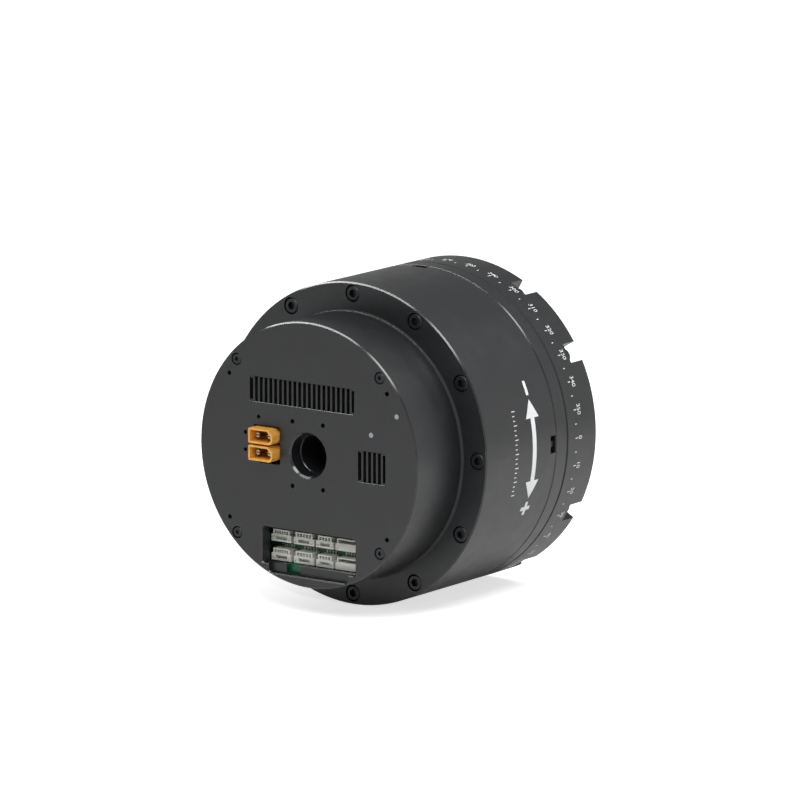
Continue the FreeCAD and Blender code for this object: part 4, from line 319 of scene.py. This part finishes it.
# %% Recipe for moulded pieces
def moulded_finish(name, dark, light, grit, smooth, rough, depth, ior=1.52, through=0.0):
    """A moulded plastic or rubber from two tones, a grit size and depth in mm, and two roughness values."""
    material, shader = start_material(name, {
        "IOR": ior, "Subsurface Weight": through, "Subsurface Scale": 0.4 * MM})
    place = add_node(material, "ShaderNodeTexCoord").outputs["Object"]
    fine = add_node(material, "ShaderNodeTexNoise", {
        "Vector": place, "Scale": per_mm(grit), "Detail": 3.0})
    flow = add_node(material, "ShaderNodeTexNoise", {
        "Vector": place, "Scale": per_mm(5), "Detail": 3.0, "Distortion": 0.8})
    tone = add_node(material, "ShaderNodeMixRGB", {
        "Fac": flow.outputs["Fac"], "Color1": to_linear(dark), "Color2": to_linear(light)})
    wander = add_node(material, "ShaderNodeMapRange", {
        "Value": flow.outputs["Fac"], "From Min": 0.3, "From Max": 0.7, "To Min": smooth, "To Max": rough})
    bump = add_node(material, "ShaderNodeBump", {
        "Height": fine.outputs["Fac"], "Distance": depth * MM, "Strength": 0.5})
    join_up(material, shader, {"Base Color": tone.outputs["Color"], "Roughness": wander.outputs["Result"],
                               "Normal": bump.outputs["Normal"]})
    return material

# %% [markdown]
# The power plugs are amber nylon, warm and slightly see-through, so their walls glow a little in the
# light. The signal headers are greyish ivory nylon. Seals are nitrile rubber, bushes a graphite-filled
# plastic, ball cages tan nylon, chips matt epoxy, and the light pipes frosted acrylic.

# %% Plastics and rubbers
amber = moulded_finish("amber_nylon", "#dc9a3c", "#eaae55",
    grit=0.2, smooth=0.32, rough=0.42, depth=0.01, ior=1.53, through=0.25)
dress(["power_plug_bodies"], amber)
ivory = moulded_finish("ivory_nylon", "#c6c6be", "#d2d2ca",
    grit=0.2, smooth=0.42, rough=0.52, depth=0.01)
dress(["signal_headers_lower", "signal_headers_upper"], ivory)
nitrile = moulded_finish("nitrile_rubber", "#161617", "#202021",
    grit=0.25, smooth=0.55, rough=0.7, depth=0.02)
dress(["rotor_shaft_seal", "output_seal"], nitrile)
bush_plastic = moulded_finish("graphite_filled_plastic", "#2b2b2d", "#38383a",
    grit=0.3, smooth=0.4, rough=0.52, depth=0.01)
dress(["tube_bush"], bush_plastic)
cage_nylon = moulded_finish("glass_filled_nylon", "#a8875a", "#bd9c6e",
    grit=0.3, smooth=0.4, rough=0.55, depth=0.015)
dress(["rotor_bearing_cages"], cage_nylon)
chip_epoxy = moulded_finish("moulded_chip_epoxy", "#1c1d1f", "#26272a",
    grit=0.12, smooth=0.5, rough=0.62, depth=0.01)
dress(["encoder_read_heads", "control_chips", "power_transistors"], chip_epoxy)
acrylic = moulded_finish("frosted_acrylic", "#868a8c", "#9a9ea0",
    grit=0.3, smooth=0.3, rough=0.4, depth=0.005, ior=1.49)
dress(["status_lights"], acrylic)

# %% [markdown]
# A circuit board is green lacquer over copper. The copper tracks stand up by a hair under the lacquer
# and look lighter. Real tracks run in straight lines, so a brick texture of 1.2 mm bricks draws their
# courses, and its mortar lines are the gaps between them.

# %% Circuit boards
lacquer, shader = start_material("green_solder_mask", {"IOR": 1.55})
place = add_node(lacquer, "ShaderNodeTexCoord").outputs["Object"]
LAID_FLAT = (math.radians(-90), 0, 0)
flat_place = add_node(lacquer, "ShaderNodeMapping", {
    "Vector": place, "Rotation": LAID_FLAT}).outputs["Vector"]
tracks = add_node(lacquer, "ShaderNodeTexBrick", {
    "Vector": flat_place, "Scale": per_mm(1.2), "Mortar Size": 0.12, "Brick Width": 2.4, "Row Height": 0.5,
    "Color1": to_linear("#0f5b38"), "Color2": to_linear("#156643"), "Mortar": to_linear("#0a3f27")})
cloud = add_node(lacquer, "ShaderNodeTexNoise", {"Vector": place, "Scale": per_mm(4), "Detail": 2.0})
sheen = add_node(lacquer, "ShaderNodeMapRange", {
    "Value": cloud.outputs["Fac"], "To Min": 0.2, "To Max": 0.36})
bump = add_node(lacquer, "ShaderNodeBump", {
    "Height": tracks.outputs["Fac"], "Distance": 0.03 * MM, "Strength": 0.6}, invert=True)
join_up(lacquer, shader, {"Base Color": tracks.outputs["Color"], "Roughness": sheen.outputs["Result"],
                          "Normal": bump.outputs["Normal"]})
dress(["control_board", "power_board", "encoder_board"], lacquer)

# %% [markdown]
# The stator's core is a stack of thin sheets, and its edge shows them as fine lines round the barrel.
# The sheets are 0.35 mm, drawn at 0.7 mm so that they show. The coils are enamelled copper wire: dark
# amber, glossy, and ribbed by the turns, 0.8 mm apart. Waves along Y and across X draw both.

# %% Laminations and windings
sheets, shader = start_material("stacked_lamination_steel", {"Metallic": 0.9})
place = add_node(sheets, "ShaderNodeTexCoord").outputs["Object"]
stack = add_node(sheets, "ShaderNodeTexWave", {
    "Vector": place, "Scale": waves_each(0.7), "Distortion": 0.1}, bands_direction="Y")
tone = add_node(sheets, "ShaderNodeMixRGB", {
    "Fac": stack.outputs["Fac"], "Color1": to_linear("#4a4d52"), "Color2": to_linear("#6a6d72")})
varnish = add_node(sheets, "ShaderNodeTexNoise", {"Vector": place, "Scale": per_mm(3), "Detail": 3.0})
gloss = add_node(sheets, "ShaderNodeMapRange", {
    "Value": varnish.outputs["Fac"], "To Min": 0.35, "To Max": 0.6})
bump = add_node(sheets, "ShaderNodeBump", {
    "Height": stack.outputs["Fac"], "Distance": 0.03 * MM, "Strength": 0.6})
join_up(sheets, shader, {"Base Color": tone.outputs["Color"], "Roughness": gloss.outputs["Result"],
                         "Normal": bump.outputs["Normal"]})
dress(["stator_core"], sheets)

wire, shader = start_material("enamelled_copper_wire", {"Metallic": 0.8, "Coat Weight": 0.6,
                                                       "Coat Roughness": 0.12})
place = add_node(wire, "ShaderNodeTexCoord").outputs["Object"]
turns = add_node(wire, "ShaderNodeTexWave", {
    "Vector": place, "Scale": waves_each(0.8), "Distortion": 0.4}, bands_direction="DIAGONAL")
burnt = add_node(wire, "ShaderNodeTexNoise", {"Vector": place, "Scale": per_mm(3), "Detail": 3.0})
tone = add_node(wire, "ShaderNodeMixRGB", {
    "Fac": burnt.outputs["Fac"], "Color1": to_linear("#8a4a26"), "Color2": to_linear("#b3683a")})
gloss = add_node(wire, "ShaderNodeMapRange", {
    "Value": turns.outputs["Fac"], "To Min": 0.25, "To Max": 0.45})
bump = add_node(wire, "ShaderNodeBump", {
    "Height": turns.outputs["Fac"], "Distance": 0.12 * MM, "Strength": 0.7})
join_up(wire, shader, {"Base Color": tone.outputs["Color"], "Roughness": gloss.outputs["Result"],
                       "Normal": bump.outputs["Normal"]})
dress(["stator_coils", "brake_coil", "phase_leads"], wire)

# %% [markdown]
# The brake disc carries a friction lining: pressed fibres and brass dust in a grey-brown resin. A
# Voronoi pattern of 0.6 mm cells scatters lighter specks through it. The encoder discs are dark coated
# glass with a ring of fine lines near the rim. Their lines are a wave that follows the angle, which is
# found with an arctangent of the place round the axis.

# %% Friction lining and encoder discs
lining, shader = start_material("pressed_friction_lining", {"IOR": 1.5})
place = add_node(lining, "ShaderNodeTexCoord").outputs["Object"]
specks = add_node(lining, "ShaderNodeTexVoronoi", {"Vector": place, "Scale": per_mm(0.6)})
spread = add_node(lining, "ShaderNodeMapRange", {
    "Value": specks.outputs["Distance"], "From Min": 0.1, "From Max": 0.5})
tone = add_node(lining, "ShaderNodeMixRGB", {
    "Fac": spread.outputs["Result"], "Color1": to_linear("#8a7a5a"), "Color2": to_linear("#4a4540")})
rough = add_node(lining, "ShaderNodeMapRange", {
    "Value": specks.outputs["Distance"], "To Min": 0.6, "To Max": 0.85})
bump = add_node(lining, "ShaderNodeBump", {
    "Height": specks.outputs["Distance"], "Distance": 0.04 * MM, "Strength": 0.6})
join_up(lining, shader, {"Base Color": tone.outputs["Color"], "Roughness": rough.outputs["Result"],
                         "Normal": bump.outputs["Normal"]})
dress(["brake_disc"], lining)

disc_glass, shader = start_material("coated_encoder_glass", {"IOR": 1.52, "Coat Weight": 0.5})
place = add_node(disc_glass, "ShaderNodeTexCoord").outputs["Object"]
split = add_node(disc_glass, "ShaderNodeSeparateXYZ", {"Vector": place})
angle = add_node(disc_glass, "ShaderNodeMath", {0: split.outputs["Z"], 1: split.outputs["X"]},
                 operation="ARCTAN2")
LINES_ROUND = 180
waves = add_node(disc_glass, "ShaderNodeMath", {0: angle.outputs[0], 1: LINES_ROUND}, operation="MULTIPLY")
lines = add_node(disc_glass, "ShaderNodeMath", {0: waves.outputs[0]}, operation="SINE")
tone = add_node(disc_glass, "ShaderNodeMixRGB", {
    "Fac": lines.outputs[0], "Color1": to_linear("#2c3036"), "Color2": to_linear("#5a626b")})
dust = add_node(disc_glass, "ShaderNodeTexNoise", {"Vector": place, "Scale": per_mm(2), "Detail": 3.0})
gloss = add_node(disc_glass, "ShaderNodeMapRange", {
    "Value": dust.outputs["Fac"], "To Min": 0.05, "To Max": 0.18})
join_up(disc_glass, shader, {"Base Color": tone.outputs["Color"], "Roughness": gloss.outputs["Result"]})
dress(["output_encoder_disc", "input_encoder_disc"], disc_glass)

# %% [markdown]
# Marks on a casing like this are screen printed in white epoxy ink, a film of a few hundredths of a
# millimetre. The ink is dense but a little uneven, so its tone and gloss wander slightly. The blotches
# are half a millimetre across.

# %% White marking ink
ink, shader = start_material("white_marking_ink", {"IOR": 1.5})
place = add_node(ink, "ShaderNodeTexCoord").outputs["Object"]
cover = add_node(ink, "ShaderNodeTexNoise", {"Vector": place, "Scale": per_mm(0.5), "Detail": 3.0})
tone = add_node(ink, "ShaderNodeMixRGB", {
    "Fac": cover.outputs["Fac"], "Color1": to_linear("#c9cacb"), "Color2": to_linear("#e2e3e3")})
gloss = add_node(ink, "ShaderNodeMapRange", {"Value": cover.outputs["Fac"], "To Min": 0.42, "To Max": 0.58})
join_up(ink, shader, {"Base Color": tone.outputs["Color"], "Roughness": gloss.outputs["Result"]})
print("ink", ink.name)

# %% [markdown]
# The marks are thin pieces of their own that lie on the barrel. Each is laid out flat at the top of the
# barrel and then wrapped round it. Laying out flat keeps the shapes simple, and wrapping is one move of
# every vertex: its distance to the side becomes an angle, and its height becomes a radius.

# %% Helpers for printed marks
INK_LIFT = 0.02 * MM
INK_FILM = 0.03 * MM


def clear_selection():
    """Deselect everything, because an operator acts on all that is selected."""
    for item in list(bpy.context.selected_objects):
        item.select_set(False)


def wrap_round(piece, radius, angle, y):
    """Wrap a flat shape round the barrel: its X becomes an angle, its Y lies along the barrel."""
    for vertex in piece.data.vertices:
        across, along, height = vertex.co
        turn = angle - across / radius
        reach = radius + INK_LIFT + height
        vertex.co = (reach * math.cos(turn), y + along, reach * math.sin(turn))


def finish_mark(piece, name, body="housing"):
    """Name, ink and ride for a printed mark."""
    piece.name = name
    piece.data.materials.clear()
    piece.data.materials.append(ink)
    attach(piece, body)


def divide_across(piece, x, width, columns):
    """Cut a flat shape into columns, so that it can bend round the barrel."""
    for index in range(1, columns):
        cut = x - width / 2 + width * index / columns
        bpy.ops.object.mode_set(mode="EDIT")
        bpy.ops.mesh.select_all(action="SELECT")
        bpy.ops.mesh.bisect(plane_co=(cut, 0, 0), plane_no=(1, 0, 0))
        bpy.ops.object.mode_set(mode="OBJECT")


def flat_bar(width, length, x=0.0, y=0.0, columns=1):
    """A thin flat bar, divided across so that it can bend."""
    clear_selection()
    bpy.ops.mesh.primitive_cube_add(size=1, location=(x, y, INK_FILM / 2), scale=(width, length, INK_FILM))
    bar = bpy.context.object
    bpy.ops.object.transform_apply(location=True, rotation=True, scale=True)
    divide_across(bar, x, width, columns)
    return bar


def joined(pieces):
    """One object from several."""
    clear_selection()
    for piece in pieces:
        piece.select_set(True)
    bpy.context.view_layer.objects.active = pieces[0]
    if len(pieces) > 1:
        bpy.ops.object.join()
    return bpy.context.object

# %% [markdown]
# The front ring doesn't turn and the flange inside it does, so a plain degree scale runs round the ring:
# a tick each 5 degrees, longer each 10 and numbered there. It keeps clear of the ring's notches. Each
# tick is a flat bar, wrapped in its place.

# %% Ticks of the degree scale on the front ring
SCALE_Y = ring_front - 12.6 * MM
TICK_STEP = 5
NUMBER_STEP = 10
TICK_WIDTH = 0.3 * MM
LONG_TICK = 1.4 * MM
SHORT_TICK = 0.9 * MM

ticks = []
for degree in range(0, 360, TICK_STEP):
    length = SHORT_TICK if degree % NUMBER_STEP else LONG_TICK
    tick = flat_bar(TICK_WIDTH, length, y=length / 2)
    wrap_round(tick, body_radius, math.radians(-degree), SCALE_Y)
    ticks.append(tick)
scale_ticks = joined(ticks)
finish_mark(scale_ticks, "degree_scale_ticks")
print("ticks", len(ticks))

# %% [markdown]
# Each number starts as a text object in Blender's own font. It is given the ink's thickness, made a mesh
# and only then wrapped, because a text object has no vertices to move.

# %% Numbers of the degree scale
DIGIT_SIZE = 2.6 * MM
NUMBER_Y = SCALE_Y + 2.0 * MM


def printed_number(text, angle, y, size):
    """A number in ink, wrapped round the barrel with its foot towards the cables."""
    clear_selection()
    bpy.ops.object.text_add()
    letters = bpy.context.object
    letters.data.body = text
    letters.data.size = size
    letters.data.align_x = "CENTER"
    letters.data.extrude = INK_FILM / 2
    bpy.ops.object.convert(target="MESH")
    for vertex in letters.data.vertices:
        vertex.co.z += INK_FILM / 2
    wrap_round(letters, body_radius, angle, y)
    return letters


numbers = [printed_number(str(degree), math.radians(-degree), NUMBER_Y, DIGIT_SIZE)
           for degree in range(0, 360, NUMBER_STEP)]
scale_numbers = joined(numbers)
finish_mark(scale_numbers, "degree_scale_numbers")
print("numbers", len(numbers))

# %% [markdown]
# One radial line on the turning flange is the pointer for the scale. It is a flat bar too, but it lies on
# the flange's front face, so it is stood up there instead of wrapped, and it rides the output.

# %% Pointer on the output flange
flange_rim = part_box("output_flange")[1].x
POINTER_LENGTH = 3 * MM
POINTER_WIDTH = 0.6 * MM
POINTER_INSET = 1.0 * MM
pointer_middle = flange_rim - POINTER_INSET - POINTER_LENGTH / 2

pointer = flat_bar(POINTER_WIDTH, POINTER_LENGTH)
for vertex in pointer.data.vertices:
    across, along, height = vertex.co
    vertex.co = (pointer_middle + along, output_face + INK_LIFT + height, across)
finish_mark(pointer, "output_pointer", "output")
print("pointer ends at radius", round((flange_rim - POINTER_INSET) / MM, 1), "mm")

# %% [markdown]
# A plain double arrow on the barrel says which way the output turns for a rising and a falling angle,
# with a plus and a minus sign at its ends. Its head is a cylinder of three sides, which is a triangle.
# All its parts are laid out flat, divided into columns, joined and wrapped in one move.

# %% Turning arrow on the barrel
ARROW_Y = cover_face + 53 * MM
ARROW_SPAN = 30 * MM
ARROW_WIDTH = 2.2 * MM
ARROW_ANGLE = 0.0
SHAFT_SHORTER = 6 * MM               # than the span, so that it ends inside both heads
HEAD_RADIUS = 4.2 * MM
HEAD_COLUMNS = 10
SHAFT_COLUMNS = 24
SIGN_COLUMNS = 4
SIGN_SIZE = 5 * MM
SIGN_WIDTH = 1.4 * MM
head_x = ARROW_SPAN / 2 - HEAD_RADIUS / 2
sign_x = ARROW_SPAN / 2 + 6 * MM


def arrow_head(x, direction):
    """A flat triangle that points along the bar."""
    clear_selection()
    bpy.ops.mesh.primitive_cylinder_add(vertices=3, radius=HEAD_RADIUS, depth=INK_FILM,
                                        location=(x, 0, INK_FILM / 2),
                                        rotation=(0, 0, -direction * math.pi / 2))
    head = bpy.context.object
    bpy.ops.object.transform_apply(location=True, rotation=True, scale=True)
    divide_across(head, x, HEAD_RADIUS * 2, HEAD_COLUMNS)
    return head


shaft = flat_bar(ARROW_SPAN - SHAFT_SHORTER, ARROW_WIDTH, columns=SHAFT_COLUMNS)
heads = [arrow_head(side * head_x, side) for side in (-1, 1)]
minus = flat_bar(SIGN_SIZE, SIGN_WIDTH, x=-sign_x, columns=SIGN_COLUMNS)
plus = [flat_bar(SIGN_SIZE, SIGN_WIDTH, x=sign_x, columns=SIGN_COLUMNS),
        flat_bar(SIGN_WIDTH, SIGN_SIZE, x=sign_x)]
turning_arrow = joined([shaft] + heads + [minus] + plus)
wrap_round(turning_arrow, body_radius, ARROW_ANGLE, ARROW_Y)
finish_mark(turning_arrow, "turning_arrow")
print("arrow at", round(ARROW_Y / MM, 1), "mm")

# %% [markdown]
# A short row of bars runs beside the arrow, each third one longer, as on a ruler.

# %% Row of bars beside the arrow
BARS_Y = cover_face + 42 * MM
BAR_WIDTH = 0.32 * MM
BAR_PITCH = 1.6 * MM
LONG_BAR = 1.8 * MM
SHORT_BAR = 1.1 * MM
BARS_EACH_SIDE = 9

bars = []
for index in range(-BARS_EACH_SIDE, BARS_EACH_SIDE + 1):
    length = SHORT_BAR if index % 3 else LONG_BAR
    bars.append(flat_bar(BAR_WIDTH, length, x=index * BAR_PITCH, y=length / 2))
arrow_bars = joined(bars)
wrap_round(arrow_bars, body_radius, ARROW_ANGLE, BARS_Y)
finish_mark(arrow_bars, "turning_bars")
print("bars", len(bars))

# %% [markdown]
# The studio is a sheet of white paper on a table. Where the camera sees it a glow lifts it to pure white,
# and a faint glow does the same in reflections, while the shadow under the barrel still shows in both.

# %% Paper floor
FLOOR_SIZE = 40
CAMERA_GLOW = 0.68
MIRROR_GLOW = 0.1

clear_selection()
bpy.ops.mesh.primitive_plane_add(size=FLOOR_SIZE, location=(0, 0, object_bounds()[0].z))
floor = bpy.context.object
floor.name = "studio_floor"
paper, shader = start_material("white_studio_paper", {"Base Color": to_linear("#e8e8e8"), "Roughness": 0.9,
                                                      "Specular IOR Level": 0.1})
seen = add_node(paper, "ShaderNodeLightPath")
mirrored = add_node(paper, "ShaderNodeMath", {0: seen.outputs["Is Glossy Ray"],
                                              1: seen.outputs["Is Transmission Ray"]}, operation="MAXIMUM")
faint = add_node(paper, "ShaderNodeMath", {0: mirrored.outputs[0], 1: MIRROR_GLOW}, operation="MULTIPLY")
lift = add_node(paper, "ShaderNodeMix", {
    0: seen.outputs["Is Camera Ray"], 2: faint.outputs[0], 3: CAMERA_GLOW})
join_up(paper, shader, {"Emission Strength": lift.outputs[0]})
shader.inputs["Emission Color"].default_value = (1, 1, 1, 1)
floor.data.materials.append(paper)
print("floor at", round(floor.location.z / MM, 1), "mm")

# %% [markdown]
# The room is white where the camera looks. In reflections it is white to the right, where the long wall
# stands near, and dims to the left and overhead, so that the black barrel keeps its depth. For soft fill
# light it counts as a plain grey. The directions come from the world's own coordinates, whose X points
# to the right and whose Z is the height above the horizon.

# %% Room
FILL = 0.25
room = bpy.data.worlds.new("white_room")
bpy.context.scene.world = room
room.use_nodes = True
seen = add_node(room, "ShaderNodeLightPath")
facing = add_node(room, "ShaderNodeTexCoord")
ways = add_node(room, "ShaderNodeSeparateXYZ", {"Vector": facing.outputs["Generated"]})
wall = add_node(room, "ShaderNodeMapRange", {
    "Value": ways.outputs["X"], "From Min": -0.6, "From Max": 0.5, "To Min": 0.5, "To Max": 1.0})
overhead = add_node(room, "ShaderNodeMapRange", {
    "Value": ways.outputs["Z"], "From Min": 0.0, "From Max": 0.6, "To Min": 1.0, "To Max": 0.4})
ceiling = add_node(room, "ShaderNodeMath", {0: wall.outputs["Result"], 1: overhead.outputs["Result"]},
                   operation="MULTIPLY")
mirrored = add_node(room, "ShaderNodeMath", {0: seen.outputs["Is Glossy Ray"],
                                             1: seen.outputs["Is Transmission Ray"]}, operation="MAXIMUM")
fill_or_mirror = add_node(room, "ShaderNodeMix", {
    0: mirrored.outputs[0], 2: FILL, 3: ceiling.outputs[0]})
strength = add_node(room, "ShaderNodeMix", {
    0: seen.outputs["Is Camera Ray"], 2: fill_or_mirror.outputs[0], 3: 1.0})
background = room.node_tree.nodes["Background"]
background.inputs["Color"].default_value = (1, 1, 1, 1)
join_up(room, background, {"Strength": strength.outputs[0]})
print("fill", FILL)

# %% [markdown]
# The key light is a long narrow softbox overhead, to the left. It is where the chamfers at the top of
# the barrel mirror it to the camera, and that draws the bright lines along their edges. A broad softbox
# at the right front lights the cover and its plugs, and doesn't mirror in the barrel. A small one at the
# right, behind and above, lays a soft shine along the barrel's upper side.

# %% Lamps
def softbox(name, direction, distance, width, length, power, along=None):
    """An area lamp that faces the object, its long side along a given direction. Lengths in metres."""
    clear_selection()
    place = aim + direction.normalized() * distance
    bpy.ops.object.light_add(type="AREA", location=place)
    lamp = bpy.context.object
    lamp.name = name
    lamp.data.shape = "RECTANGLE"
    lamp.data.size = width
    lamp.data.size_y = length
    lamp.data.energy = power
    back = (place - aim).normalized()
    side = (along or Vector((0, 0, 1))).cross(back).normalized()
    lamp.rotation_mode = "QUATERNION"
    lamp.rotation_quaternion = Matrix((side, back.cross(side), back)).transposed().to_quaternion()


strip_start = Vector((-0.88, 0.07, 0.47)).normalized()
strip_end = Vector((0.05, -0.45, 0.89)).normalized()
softbox("overhead_strip", strip_start + strip_end, distance=1.3, width=0.07, length=1.6, power=7,
        along=strip_end - strip_start)
softbox("top_front_softbox", Vector((0.3, -0.6, 0.74)), distance=1.5, width=0.6, length=0.6, power=11)
softbox("back_right_softbox", Vector((0.56, 0.18, 0.8)), distance=0.75, width=0.35, length=0.35, power=4.5)

# %% View transform
bpy.context.scene.view_settings.view_transform = "Standard"
